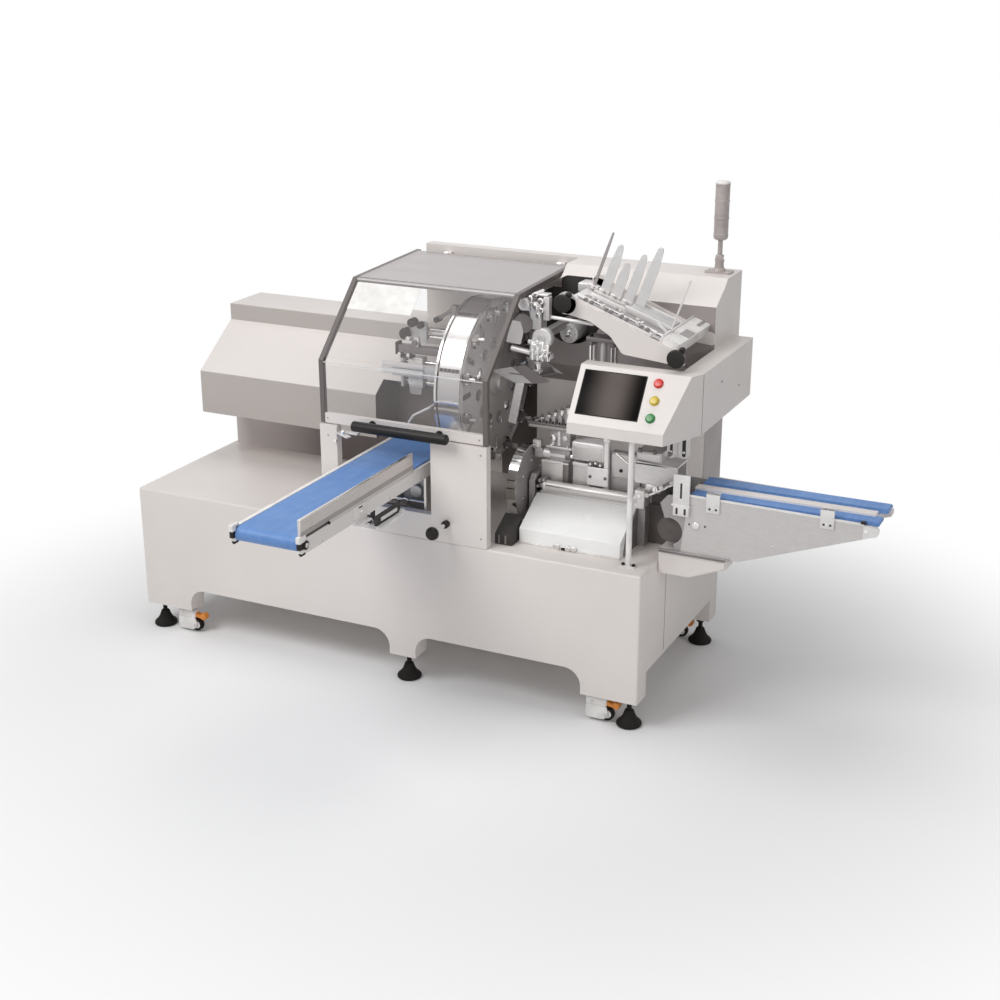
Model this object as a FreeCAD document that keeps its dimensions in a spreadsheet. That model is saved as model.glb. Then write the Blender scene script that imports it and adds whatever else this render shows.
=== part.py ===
import FreeCAD, Part
import Sketcher
import math
import os
import re

# Pouch packing machine, in millimetres.
# Front is -Y, the machine's right is +X, up is +Z, the floor is Z = 0.
# The origin is on the floor, in the middle of the machine's length and depth.

SIZES = {
    # cabinet and legs
    "base_right": 740,
    "base_length": 2300,
    "base_front": -42,
    "base_depth": 953,
    "base_top": 650,
    "base_floor": 219,
    "base_round": 8,
    "leg_bottom": 117,
    "leg_depth": 95,
    "end_leg_width": 235,
    "middle_leg_width": 119,
    "middle_leg_centre": -280,
    "leg_gusset": 70,
    # levelling feet
    "foot_inset": 50,
    "foot_inset_depth": 55,
    "foot_radius": 50,
    "foot_pad_height": 14,
    "foot_bell_height": 30,
    "foot_bell_radius": 20,
    "foot_nut_width": 17,
    "foot_nut_height": 14,
    "foot_stem_radius": 9,
    # levelling casters
    "caster_inset": 182,
    "caster_plate": 70,
    "caster_plate_thickness": 8,
    "caster_stem_radius": 8,
    "caster_floor_gap": 6,
    "caster_trail": 46,
    "caster_wheel_radius": 28,
    "caster_wheel_width": 24,
    "caster_axle_radius": 4,
    "caster_cheek": 6,
    "caster_cheek_gap": 2,
    "caster_cheek_bottom": 12,
    "caster_back": 40,
    "caster_head_bottom": 67,
    "caster_head_top": 101,
    "caster_pedal_length": 46,
    "caster_pedal_width": 26,
    "caster_pedal_height": 12,
    "running_gap": 0.05,
    # how far cutting tools reach past a face, and how far joined blocks lap
    "overrun": 10,
    "lap": 1,
    # feed hood, the box behind it and the block that carries both
    "hood_inset": 30,
    "hood_right": -240,
    "hood_front": 408,
    "hood_bottom": 870,
    "hood_shoulder": 1060,
    "hood_slope_back": 663,
    "hood_slope_top": 1240,
    "mouth_left": -635,
    "mouth_top": 1110,
    "mouth_depth": 190,
    "hood_box_top": 1312,
    "support_right": -650,
    # rear wall, column and head housing
    "wall_left": -600,
    "wall_front": 813,
    "wall_back": 868,
    "wall_top": 1635,
    "column_left": 4,
    "head_left": 110,
    "column_right": 740,
    "column_front": 640,
    "head_bottom": 1160,
    "head_right": 790,
    "head_front": 558,
    "head_chamfer": 90,
    "head_slope_bottom": 1548,
    "head_kink_back": 662,
    "head_kink_top": 1610,
    "head_slope_back": 690,
    # signal tower
    "tower_x": 722,
    "tower_y": 782,
    "tower_flange_length": 105,
    "tower_flange_width": 64,
    "tower_flange_height": 8,
    "tower_boss_radius": 24,
    "tower_boss_height": 46,
    "tower_pole_radius": 10,
    "tower_pole_height": 76,
    "tower_lamp_radius": 30,
    "tower_lamp_height": 229,
    # front panel and adjusting knob
    "panel_left": -632,
    "panel_right": 104,
    "panel_thickness": 35,
    "panel_top": 1062,
    "window_left": -555,
    "window_right": -137,
    "window_bottom": 755,
    "sill_left": -390,
    "knob_x": -69,
    "knob_z": 730,
    "knob_shaft_radius": 8,
    "knob_collar_radius": 15,
    "knob_collar_length": 22,
    "knob_shaft_length": 84,
    "knob_radius": 25,
    "knob_length": 30,
    "knob_seat_depth": 20,
    "knob_gap": 0.3,
    # guard: points of its outer side profile, front to back
    "guard_bar": 20,
    "guard_gap": 5,
    "guard_low_y": -32,
    "guard_knee_y": -34,
    "guard_knee_z": 1322,
    "guard_brow_y": 250,
    "guard_brow_z": 1595,
    "guard_back_y": 788,
    "guard_back_z": 1612,
    "guard_pane": 5,
    "guard_low_rail": 40,
    "roof_rib_gap": 150,
    "hinge_left_x": -488,
    "hinge_right_x": 38,
    "hinge_width": 36,
    "hinge_pin_radius": 5,
    "hinge_outer_radius": 11,
    "hinge_leaf": 5,
    "hinge_gap": 0.3,
    "rib_gap": 1,
    "pane_gap": 0.2,
    "pane_back_gap": 2,
    "grip_left": -455,
    "grip_right": -40,
    "grip_radius": 21,
    "grip_standoff": 32,
    "grip_pin_radius": 8,
    "grip_pin_inset": 60,
    # drum
    "drum_left": -170,
    "drum_width": 110,
    "drum_y": 384,
    "drum_z": 1203,
    "drum_radius": 331,
    "drum_rim": 8,
    "drum_disc": 8,
    "drum_slots": 12,
    "slot_width": 22,
    "slot_length": 70,
    "slot_edge_gap": 34,
    "drum_shaft_radius": 25,
    "drum_hub_radius": 62,
    "drum_hub_length": 46,
    "drum_nose_length": 34,
    "drum_shaft_inset": 2,
    "gripper_count": 12,
    "gripper_length": 38,
    "gripper_width": 34,
    "gripper_height": 26,
    "gripper_edge_gap": 12,
    "bearing_gap": 12,
    "bearing_thickness": 28,
    "bearing_front": 268,
    "bearing_low": 1140,
    "bearing_high": 1296,
    # pusher left of the drum
    "pusher_y": 300,
    "pusher_low_z": 1180,
    "pusher_high_z": 1262,
    "pusher_rod_radius": 8,
    "pusher_rod_length": 216,
    "pusher_end_plate": 12,
    "pusher_block_length": 66,
    "pusher_block_width": 46,
    "pusher_block_offset": 88,
    "pusher_block_margin": 24,
    "pusher_plate_length": 60,
    "pusher_plate_height": 30,
    "pusher_plate_thickness": 8,
    # bag gripper, spreader wings and guide plate right of the drum
    "gripper_beam_x": 124,
    "gripper_beam_width": 60,
    "gripper_beam_front": 296,
    "gripper_beam_bottom": 1392,
    "gripper_beam_top": 1452,
    "clamp_head_top": 1592,
    "clamp_head_width": 50,
    "clamp_head_depth": 60,
    "clamp_arm_drop": 60,
    "clamp_arm_inset": 8,
    "octagon_rise": 70,
    "octagon_radius": 38,
    "octagon_length": 34,
    "wing_left": 20,
    "wing_right": 206,
    "wing_z": 1240,
    "wing_depth": 150,
    "wing_thickness": 6,
    "wing_rise": 30,
    "wing_post_radius": 12,
    "wing_post_x": 25,
    "wing_post_y": 30,
    # lower transfer wheel
    "wheel_left": 100,
    "wheel_width": 40,
    "wheel_y": 293,
    "wheel_z": 829,
    "wheel_radius": 155,
    "wheel_rim": 6,
    "wheel_disc": 6,
    "wheel_hub_radius": 34,
    "wheel_hub_inset": 6,
    "wheel_shaft_radius": 14,
    "wheel_bearing_gap": 10,
    "wheel_bearing_thickness": 24,
    "wheel_bearing_width": 90,
    # infeed conveyor
    "infeed_reach": 869,
    "infeed_left": -448,
    "infeed_right": -192,
    "infeed_top": 950,
    "infeed_back": 367,
    "infeed_plate": 12,
    "infeed_plate_gap": 3,
    "infeed_frame_drop": 60,
    "infeed_belt": 4,
    "infeed_loop_radius": 27,
    "infeed_loop_gap": 0.3,
    "infeed_bed_gap": 0.4,
    "infeed_bed": 14,
    "infeed_bed_inset": 40,
    "infeed_end_inset": 8,
    "infeed_plate_drop": 5,
    "roller_pin_radius": 8,
    "rail_height": 73,
    "rail_end": -108,
    "support_front": -5,
    "support_length": 264,
    "support_inset": 1,
    "support_plate": 10,
    "support_foot_width": 44,
    "support_foot_height": 50,
    "support_foot_wall": 6,
    # sealing station
    "cover_left": 183,
    "cover_right": 604,
    "cover_front": 86,
    "cover_lip": 60,
    "cover_back": 253,
    "cover_top": 805,
    "bed_left": 196,
    "bed_right": 640,
    "bed_depth": 110,
    "bed_top": 813,
    "seal_rail_radius": 22,
    "seal_rail_inset": 8,
    "seal_rail_start": 24,
    "pedestal_x": 214,
    "pedestal_y": 300,
    "pedestal_length": 88,
    "pedestal_width": 64,
    "pedestal_top": 984,
    "flange_thickness": 8,
    "flange_margin": 12,
    "block_height": 66,
    "bank_left": 112,
    "bank_length": 218,
    "bank_plate": 12,
    "bank_overhang": 10,
    "cylinder_count": 7,
    "cylinder_radius": 11,
    "cylinder_pitch": 30,
    "cylinder_height": 24,
    "cylinder_step": 13,
    "cylinder_setback": 26,
    "drive_left": 315,
    "drive_length": 136,
    "drive_y": 284,
    "drive_width": 80,
    "drive_bottom": 950,
    "drive_top": 1026,
    "drive_post_width": 20,
    "drive_post_depth": 30,
    "drive_post_top": 1065,
    "drive_leg_x": 60,
    "drive_leg_y": 20,
    "drive_leg_length": 70,
    "drive_leg_width": 40,
    # operator console
    "console_left": 410,
    "console_right": 870,
    "console_front": 8,
    "console_bottom": 1150,
    "console_lip_top": 1194,
    "console_face_back": 140,
    "console_top": 1385,
    "console_back": 200,
    "facet_inset": 82,
    "arm_left": 790,
    "arm_back": 798,
    "console_post_x": 660,
    "console_post_y": 34,
    "console_post_radius": 11,
    "post_flange_width": 58,
    "post_flange_depth": 34,
    "post_flange_height": 5,
    "screen_left": 436,
    "screen_length": 240,
    "screen_height": 170,
    "screen_low": 40,
    "screen_thickness": 4,
    "button_x": 726,
    "button_low": 56,
    "button_pitch": 68,
    "button_radius": 17,
    "button_height": 12,
    # bag magazine
    "magazine_x": 318,
    "magazine_z": 1598,
    "magazine_run": 453,
    "magazine_drop": 161,
    "magazine_front": 200,
    "magazine_plate": 12,
    "plate_end": 30,
    "plate_rise": 28,
    "plate_shoulder": 14,
    "plate_tail": 20,
    "tail_rise": 7,
    "tail_drop": 37,
    "belly_x": 230,
    "belly_drop": 176,
    "knee_x": 180,
    "knee_drop": 112,
    "throat_x": 100,
    "throat_drop": 66,
    "plate_heel": 40,
    "magazine_table_length": 466,
    "magazine_table_start": -20,
    "magazine_table_offset": -14,
    "magazine_table_thickness": 12,
    "finger_width": 30,
    "finger_thickness": 6,
    "finger_start": -15,
    "finger_pitch": 51,
    "finger_y": 467,
    "finger_count": 5,
    "finger_1_height": 239,
    "finger_2_height": 207,
    "finger_3_height": 154,
    "finger_4_height": 212,
    "finger_5_height": 264,
    "handwheel_radius": 35,
    "handwheel_thickness": 20,
    "handwheel_standoff": 24,
    "handwheel_shaft_radius": 6,
    "shaft_end_gap": 6,
    "crank_radius": 11,
    "crank_offset": 35,
    "crank_angle": 50,
    "crank_length": 26,
    "picker_left": 360,
    "picker_length": 120,
    "picker_front": 300,
    "picker_depth": 70,
    "picker_top": 1446,
    "picker_plate": 18,
    "picker_foot": 12,
    "picker_arm_inset": 30,
    "picker_arm_width": 60,
    "pillar_inset": 16,
    "pillar_radius": 8,
    "pillar_drop": 92,
    # outfeed conveyor
    "outfeed_reach": 820,
    "outfeed_gap": 113,
    "outfeed_front": 138,
    "outfeed_width": 236,
    "outfeed_top": 935,
    "outfeed_plate": 10,
    "outfeed_low": 700,
    "outfeed_low_gap": 87,
    "outfeed_knee": 314,
    "outfeed_nose": 44,
    "outfeed_tip_inset": 6,
    "outfeed_tip_drop": 14,
    "outfeed_start_drop": 4,
    "outfeed_tray_inset": 30,
    "outfeed_guide_inset": 40,
    "outfeed_belt_gap": 2,
    "outfeed_nose_low": 870,
    "outfeed_tip": 886,
    "outfeed_belt_width": 66,
    "outfeed_belt_thickness": 18,
    "outfeed_tray": 10,
    "guide_width": 40,
    "guide_rise": 12,
    "shelf_length": 270,
    "shelf_bottom": 600,
    "shelf_inset": 3,
}

doc = FreeCAD.newDocument("pouch_packing_machine")
sheet = doc.addObject("Spreadsheet::Sheet", "Sizes")
for row, (alias, value) in enumerate(SIZES.items(), start=1):
    sheet.set(f"A{row}", alias)
    sheet.set(f"B{row}", str(value))
    sheet.setAlias(f"B{row}", alias)
doc.recompute()

NODES = []


def sized(text):
    """Expression text in which every size's name points at the sheet."""
    text = str(text)
    return re.sub(r"[A-Za-z_]\w*", lambda m: f"Sizes.{m.group(0)}" if m.group(0) in SIZES else m.group(0), text)


def size(alias):
    """Value of one size, read from the sheet."""
    return float(sheet.get(alias))


def bind(obj, settings):
    for path, text in settings.items():
        obj.setExpression(path, sized(text))
    return obj


def place(obj, x, y, z):
    return bind(obj, {"Placement.Base.x": x, "Placement.Base.y": y, "Placement.Base.z": z})


def box(name, x, y, z, length, width, height):
    obj = doc.addObject("Part::Box", name)
    bind(obj, {"Length": length, "Width": width, "Height": height})
    return place(obj, x, y, z)


TURNS = {
    "x": FreeCAD.Rotation(FreeCAD.Vector(0, 1, 0), 90),
    "y": FreeCAD.Rotation(FreeCAD.Vector(1, 0, 0), -90),
    "z": FreeCAD.Rotation(),
}


def rod(name, axis, x, y, z, radius, length):
    """Cylinder that starts at a point and runs along +axis."""
    obj = doc.addObject("Part::Cylinder", name)
    obj.Placement = FreeCAD.Placement(FreeCAD.Vector(), TURNS[axis])
    bind(obj, {"Radius": radius, "Height": length})
    return place(obj, x, y, z)


def cone(name, x, y, z, radius_low, radius_high, height):
    obj = doc.addObject("Part::Cone", name)
    bind(obj, {"Radius1": radius_low, "Radius2": radius_high, "Height": height})
    return place(obj, x, y, z)


def fuse(name, parts):
    obj = doc.addObject("Part::MultiFuse", name)
    obj.Shapes = parts
    obj.Refine = True
    return obj


def cut(name, base, tool):
    obj = doc.addObject("Part::Cut", name)
    obj.Base = base
    obj.Tool = tool
    obj.Refine = True
    return obj


def group(name, parts):
    obj = doc.addObject("Part::Compound", name)
    obj.Links = parts
    return obj


def node(label, obj):
    """Registers an object as a sub-part of the machine."""
    obj.Label = label
    NODES.append(obj)
    return obj


def origin_plane(body, role):
    return next(f for f in body.Origin.OriginFeatures if f.Role == role)


def outline(body, name, plane, points):
    """Sketch of a closed polygon whose corners are bound to sizes."""
    sketch = body.newObject("Sketcher::SketchObject", name)
    sketch.AttachmentSupport = [(origin_plane(body, plane), "")]
    sketch.MapMode = "FlatFace"
    values = [(float(sheet_value(a)), float(sheet_value(b))) for a, b in points]
    count = len(points)
    for i in range(count):
        start = FreeCAD.Vector(*values[i], 0)
        end = FreeCAD.Vector(*values[(i + 1) % count], 0)
        sketch.addGeometry(Part.LineSegment(start, end), False)
    for i in range(count):
        sketch.addConstraint(Sketcher.Constraint("Coincident", i, 2, (i + 1) % count, 1))
    for i in range(count):
        for kind, value, text in (("DistanceX", values[i][0], points[i][0]), ("DistanceY", values[i][1], points[i][1])):
            index = sketch.addConstraint(Sketcher.Constraint(kind, -1, 1, i, 1, value))
            sketch.setExpression(f"Constraints[{index}]", sized(text))
    return sketch


def sheet_value(text):
    """Number that an expression of sizes comes to at the sizes' present values."""
    names = {alias: size(alias) for alias in SIZES if alias in str(text)}
    total = str(text)
    for alias in sorted(names, key=len, reverse=True):
        total = re.sub(rf"\b{alias}\b", repr(names[alias]), total)
    return FreeCAD.Units.Quantity(total).Value


def padded(name, plane, points, start, depth):
    """Body made of one polygon, padded along the plane's axis from a start."""
    body = doc.addObject("PartDesign::Body", name)
    sketch = outline(body, name + "_sketch", plane, points)
    pad = body.newObject("PartDesign::Pad", name + "_pad")
    pad.Profile = sketch
    pad.Reversed = plane == "XZ_Plane"
    bind(pad, {"Length": depth})
    axis = {"YZ_Plane": "x", "XZ_Plane": "y", "XY_Plane": "z"}[plane]
    bind(body, {f"Placement.Base.{axis}": start})
    body.Tip = pad
    return body


def pocketed(body, name, plane, points, depth, forward=True):
    """Pocket of one polygon from the body's origin plane, to a depth along the plane's axis."""
    doc.recompute()
    before = body.Shape.Volume
    sketch = outline(body, name + "_sketch", plane, points)
    pocket = body.newObject("PartDesign::Pocket", name)
    pocket.Profile = sketch
    pocket.Reversed = forward != (plane == "XZ_Plane")
    bind(pocket, {"Length": depth})
    body.Tip = pocket
    doc.recompute()
    if body.Shape.Volume >= before - 1:
        raise ValueError(f"{name} cuts nothing")
    return pocket


def rounded(body, name, radius, wanted):
    """Fillet on the edges of the body's tip for which wanted(edge) is true."""
    doc.recompute()
    tip = body.Tip
    edges = [f"Edge{i}" for i, edge in enumerate(tip.Shape.Edges, start=1) if wanted(edge)]
    fillet = body.newObject("PartDesign::Fillet", name)
    fillet.Base = (tip, edges)
    bind(fillet, {"Radius": radius})
    body.Tip = fillet
    return fillet


def rectangle(left, low, right, high):
    return [(left, low), (right, low), (right, high), (left, high)]


BASE_LEFT = "(base_right - base_length)"
BASE_BACK = "(base_front + base_depth)"
HOOD_LEFT = f"({BASE_LEFT} + hood_inset)"


def base_cabinet():
    """Closed sheet metal cabinet with rounded top edges."""
    corners = rectangle(BASE_LEFT, "base_front", "base_right", BASE_BACK)
    body = padded("base_cabinet", "XY_Plane", corners, "base_floor", "base_top - base_floor")
    high = size("base_top") - size("base_floor")
    rounded(body, "cabinet_round", "base_round", lambda edge: abs(edge.BoundBox.ZMin - high) < 0.01)
    node("base_cabinet", body)


def leg(name, left, width, front, sides):
    """Leg with a quarter round gusset at each side that faces an arch."""
    parts = [box(name + "_post", left, front, "leg_bottom", width, "leg_depth", "base_floor - leg_bottom")]
    for side in sides:
        low = "base_floor - leg_gusset"
        start = f"{left} - leg_gusset" if side == "left" else f"{left} + {width}"
        centre = start if side == "left" else f"{left} + {width} + leg_gusset"
        web = box(f"{name}_{side}_web", start, front, low, "leg_gusset", "leg_depth", "leg_gusset")
        hole = rod(f"{name}_{side}_arc", "y", centre, front, low, "leg_gusset", "leg_depth")
        parts.append(cut(f"{name}_{side}_gusset", web, hole))
    return fuse(name, parts)


def base_legs():
    rows = {"front": "base_front", "back": f"{BASE_BACK} - leg_depth"}
    columns = {
        "left": (BASE_LEFT, "end_leg_width", ["right"]),
        "middle": ("middle_leg_centre - middle_leg_width / 2", "middle_leg_width", ["left", "right"]),
        "right": ("base_right - end_leg_width", "end_leg_width", ["left"]),
    }
    legs = [
        leg(f"leg_{row}_{column}", left, width, front, sides)
        for row, front in rows.items()
        for column, (left, width, sides) in columns.items()
    ]
    node("base_legs", group("base_legs", legs))


def levelling_foot(name, x, y):
    pad = rod(name + "_pad", "z", x, y, "0", "foot_radius", "foot_pad_height")
    bell = cone(name + "_bell", x, y, "foot_pad_height", "foot_radius", "foot_bell_radius", "foot_bell_height")
    nut = doc.addObject("Part::Prism", name + "_nut")
    nut.Polygon = 6
    bind(nut, {"Circumradius": "foot_nut_width", "Height": "foot_nut_height"})
    place(nut, x, y, "leg_bottom - foot_nut_height")
    stem = rod(name + "_stem", "z", x, y, "foot_pad_height + foot_bell_height", "foot_stem_radius",
               "leg_bottom - foot_pad_height - foot_bell_height")
    return fuse(name, [pad, bell, nut, stem])


def levelling_feet():
    columns = {"left": f"{BASE_LEFT} + foot_inset", "middle": "middle_leg_centre", "right": "base_right - foot_inset"}
    rows = {"front": "base_front + foot_inset_depth", "back": f"{BASE_BACK} - foot_inset_depth"}
    feet = [levelling_foot(f"foot_{r}_{c}", x, y) for r, y in rows.items() for c, x in columns.items()]
    node("levelling_feet", group("levelling_feet", feet))


CASTERS = {
    "front_left": (f"{BASE_LEFT} + caster_inset", "base_front + leg_depth / 2"),
    "front_right": ("base_right - caster_inset", "base_front + leg_depth / 2"),
    "back_left": (f"{BASE_LEFT} + caster_inset", f"{BASE_BACK} - leg_depth / 2"),
    "back_right": ("base_right - caster_inset", f"{BASE_BACK} - leg_depth / 2"),
}
CASTER_AXLE = "(caster_floor_gap + caster_wheel_radius)"
CASTER_WIDTH = "(caster_wheel_width + 2 * caster_cheek_gap + 2 * caster_cheek)"


def caster_stem(name, x, y):
    """Plate under the leg with the stem that the caster swivels on."""
    half = "caster_plate / 2"
    plate_low = "leg_bottom - caster_plate_thickness"
    plate = box(name + "_plate", f"{x} - {half}", f"{y} - {half}", plate_low,
                "caster_plate", "caster_plate", "caster_plate_thickness")
    stem = rod(name + "_stem", "z", x, y, "caster_head_bottom", "caster_stem_radius",
               "leg_bottom - caster_head_bottom")
    return fuse(name, [plate, stem])


def caster_housing(name, x, y):
    """Swivel head on the stem, with two cheeks that hold the wheel and a brake pedal behind it."""
    length = "caster_back + caster_trail"
    side = f"{y} - {CASTER_WIDTH} / 2"
    parts = [box(name + "_head", f"{x} - caster_back", side, "caster_head_bottom", length, CASTER_WIDTH,
                 "caster_head_top - caster_head_bottom")]
    for end, cheek_y in (("near", side), ("far", f"{y} + {CASTER_WIDTH} / 2 - caster_cheek")):
        parts.append(box(f"{name}_{end}_cheek", f"{x} - caster_back", cheek_y, "caster_cheek_bottom",
                         f"{length} + 2 * caster_axle_radius", "caster_cheek",
                         "caster_head_bottom - caster_cheek_bottom + lap"))
    parts.append(box(name + "_pedal", f"{x} + caster_trail", f"{y} - caster_pedal_width / 2", "caster_head_bottom",
                     "caster_pedal_length", "caster_pedal_width", "caster_pedal_height"))
    solid = fuse(name + "_solid", parts)
    bore = rod(name + "_bore", "z", x, y, "caster_head_bottom - overrun", "caster_stem_radius + running_gap",
               "caster_head_top - caster_head_bottom + 2 * overrun")
    axle = rod(name + "_axle_bore", "y", f"{x} + caster_trail", f"{side} - overrun", CASTER_AXLE,
               "caster_axle_radius + running_gap", f"{CASTER_WIDTH} + 2 * overrun")
    return cut(name, solid, group(name + "_bores", [bore, axle]))


def caster_wheel(name, x, y):
    tread = rod(name + "_tread", "y", f"{x} + caster_trail", f"{y} - caster_wheel_width / 2", CASTER_AXLE,
                "caster_wheel_radius", "caster_wheel_width")
    axle = rod(name + "_axle", "y", f"{x} + caster_trail", f"{y} - {CASTER_WIDTH} / 2", CASTER_AXLE,
               "caster_axle_radius", CASTER_WIDTH)
    return fuse(name, [tread, axle])


def casters():
    stems = [caster_stem(f"stem_{place_name}", x, y) for place_name, (x, y) in CASTERS.items()]
    node("caster_stems", group("caster_stems", stems))
    for place_name, (x, y) in CASTERS.items():
        node(f"caster_housing_{place_name}", caster_housing(f"housing_{place_name}", x, y))
        node(f"caster_wheel_{place_name}", caster_wheel(f"wheel_{place_name}", x, y))


def feed_hood():
    """Hood with a sloped front, open at the lower right where the pusher works."""
    corners = [
        ("hood_front", "hood_bottom"),
        ("hood_front", "hood_shoulder"),
        ("hood_slope_back", "hood_slope_top"),
        ("hood_slope_back", "hood_bottom"),
    ]
    body = padded("feed_hood", "YZ_Plane", corners, HOOD_LEFT, f"hood_right - {HOOD_LEFT}")
    mouth = rectangle(f"mouth_left - {HOOD_LEFT}", "hood_bottom - overrun", f"hood_right - {HOOD_LEFT} + overrun",
                      "mouth_top")
    pocketed(body, "hood_mouth", "XZ_Plane", mouth, "hood_front + mouth_depth")
    node("feed_hood", body)
    corners = [
        (HOOD_LEFT, "hood_slope_back"),
        ("hood_right", "hood_slope_back"),
        ("hood_right", "wall_front"),
        ("wall_left", "wall_front"),
        ("wall_left", BASE_BACK),
        (HOOD_LEFT, BASE_BACK),
    ]
    node("hood_rear_box", padded("hood_rear_box", "XY_Plane", corners, "hood_bottom", "hood_box_top - hood_bottom"))
    block = box("hood_support", HOOD_LEFT, "hood_slope_back", "base_top", f"support_right - {HOOD_LEFT}",
                f"{BASE_BACK} - hood_slope_back", "hood_bottom - base_top")
    node("hood_support", block)


def rear_housings():
    wall = box("rear_wall_plate", "wall_left", "wall_front", "base_top", "head_left - wall_left",
               "wall_back - wall_front", "wall_top - base_top")
    node("rear_wall", fuse("rear_wall", [wall] + guard_hinges()))
    plan = [
        ("column_left", "column_front"),
        ("column_right", "column_front"),
        ("column_right", "wall_back"),
        ("head_left", "wall_back"),
        ("head_left", "wall_front"),
        ("column_left", "wall_front"),
    ]
    node("rear_column", padded("rear_column", "XY_Plane", plan, "base_top", "head_bottom - base_top"))
    foot = [("column_front", "head_bottom"), ("head_front", "head_bottom + head_chamfer"),
            ("head_front", "head_slope_bottom")]
    crown = [("head_kink_back", "head_kink_top"), ("head_slope_back", "wall_top"), ("wall_back", "wall_top"),
             ("wall_back", "head_bottom")]
    step = [("wall_front", "head_slope_bottom"), ("wall_front", "head_bottom")]
    high = padded("head_high", "YZ_Plane", foot + crown, "head_left", "head_right - head_left")
    low = padded("head_low", "YZ_Plane", foot + step, "column_left", "head_left - column_left")
    node("head_housing", fuse("head_housing", [high, low]))


def signal_tower():
    flange = box("tower_flange", "tower_x - tower_flange_length / 2", "tower_y - tower_flange_width / 2", "wall_top",
                 "tower_flange_length", "tower_flange_width", "tower_flange_height")
    boss_low = "wall_top + tower_flange_height"
    pole_low = f"{boss_low} + tower_boss_height"
    lamp_low = f"{pole_low} + tower_pole_height"
    boss = rod("tower_boss", "z", "tower_x", "tower_y", boss_low, "tower_boss_radius", "tower_boss_height")
    pole = rod("tower_pole", "z", "tower_x", "tower_y", pole_low, "tower_pole_radius", "tower_pole_height")
    lamp = rod("tower_lamp", "z", "tower_x", "tower_y", lamp_low, "tower_lamp_radius", "tower_lamp_height")
    node("signal_tower", fuse("signal_tower", [flange, boss, pole, lamp]))


def front_panel():
    """L-shaped plate right of the window for the infeed conveyor, and the post left of it."""
    post = box("front_post", "panel_left", "base_front", "base_top", "window_left - panel_left",
               "panel_thickness", "panel_top - base_top")
    node("front_post", post)
    corners = [
        ("sill_left", "base_top"),
        ("panel_right", "base_top"),
        ("panel_right", "panel_top"),
        ("window_right", "panel_top"),
        ("window_right", "window_bottom"),
        ("sill_left", "window_bottom"),
    ]
    panel = padded("panel_plate", "XZ_Plane", corners, "base_front", "panel_thickness")
    bore = rod("knob_bore", "y", "knob_x", "base_front - overrun", "knob_z", "knob_shaft_radius + running_gap",
               "knob_seat_depth + overrun")
    node("front_panel", cut("front_panel", panel, bore))


def adjusting_knob():
    seat = rod("knob_seat", "y", "knob_x", "base_front", "knob_z", "knob_shaft_radius", "knob_seat_depth - knob_gap")
    collar_front = "base_front - knob_gap - knob_collar_length"
    collar = rod("knob_collar", "y", "knob_x", collar_front, "knob_z", "knob_collar_radius", "knob_collar_length")
    shaft_front = f"{collar_front} - knob_shaft_length"
    shaft = rod("knob_shaft", "y", "knob_x", shaft_front, "knob_z", "knob_shaft_radius",
                "knob_shaft_length + knob_collar_length + knob_gap")
    grip = rod("knob_grip", "y", "knob_x", f"{shaft_front} - knob_length", "knob_z", "knob_radius", "knob_length")
    node("adjusting_knob", fuse("adjusting_knob", [seat, collar, shaft, grip]))


def offset_line(points, distance):
    """Open polyline moved sideways by a distance, mitred at its corners."""
    normals = []
    for (y0, z0), (y1, z1) in zip(points, points[1:]):
        length = math.hypot(y1 - y0, z1 - z0)
        normals.append(((z1 - z0) / length, -(y1 - y0) / length))
    moved = [(points[0][0] + normals[0][0] * distance, points[0][1] + normals[0][1] * distance)]
    for (y, z), before, after in zip(points[1:-1], normals, normals[1:]):
        scale = distance / (1 + before[0] * after[0] + before[1] * after[1])
        moved.append((y + (before[0] + after[0]) * scale, z + (before[1] + after[1]) * scale))
    y, z = points[-1]
    moved.append((y + normals[-1][0] * distance, z + normals[-1][1] * distance))
    return moved


def guard_profile():
    low = size("panel_top") + size("guard_gap")
    return [
        (size("guard_low_y"), low),
        (size("guard_knee_y"), size("guard_knee_z")),
        (size("guard_brow_y"), size("guard_brow_z")),
        (size("guard_back_y"), size("guard_back_z")),
    ]


def band(points, outer, inner, x, width):
    """Solid strip along a side profile, between two depths below it, from x over a width."""
    line = offset_line(points, outer) + offset_line(points, inner)[::-1]
    corners = [FreeCAD.Vector(x, y, z) for y, z in line]
    return Part.Face(Part.makePolygon(corners + corners[:1])).extrude(FreeCAD.Vector(width, 0, 0))


def feature(label, shape):
    obj = doc.addObject("Part::Feature", label)
    obj.Shape = shape
    return node(label, obj)


HINGE_Y = "(wall_front - hinge_outer_radius - hinge_gap)"
HINGE_Z = "(guard_back_z - guard_bar / 2)"


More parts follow.
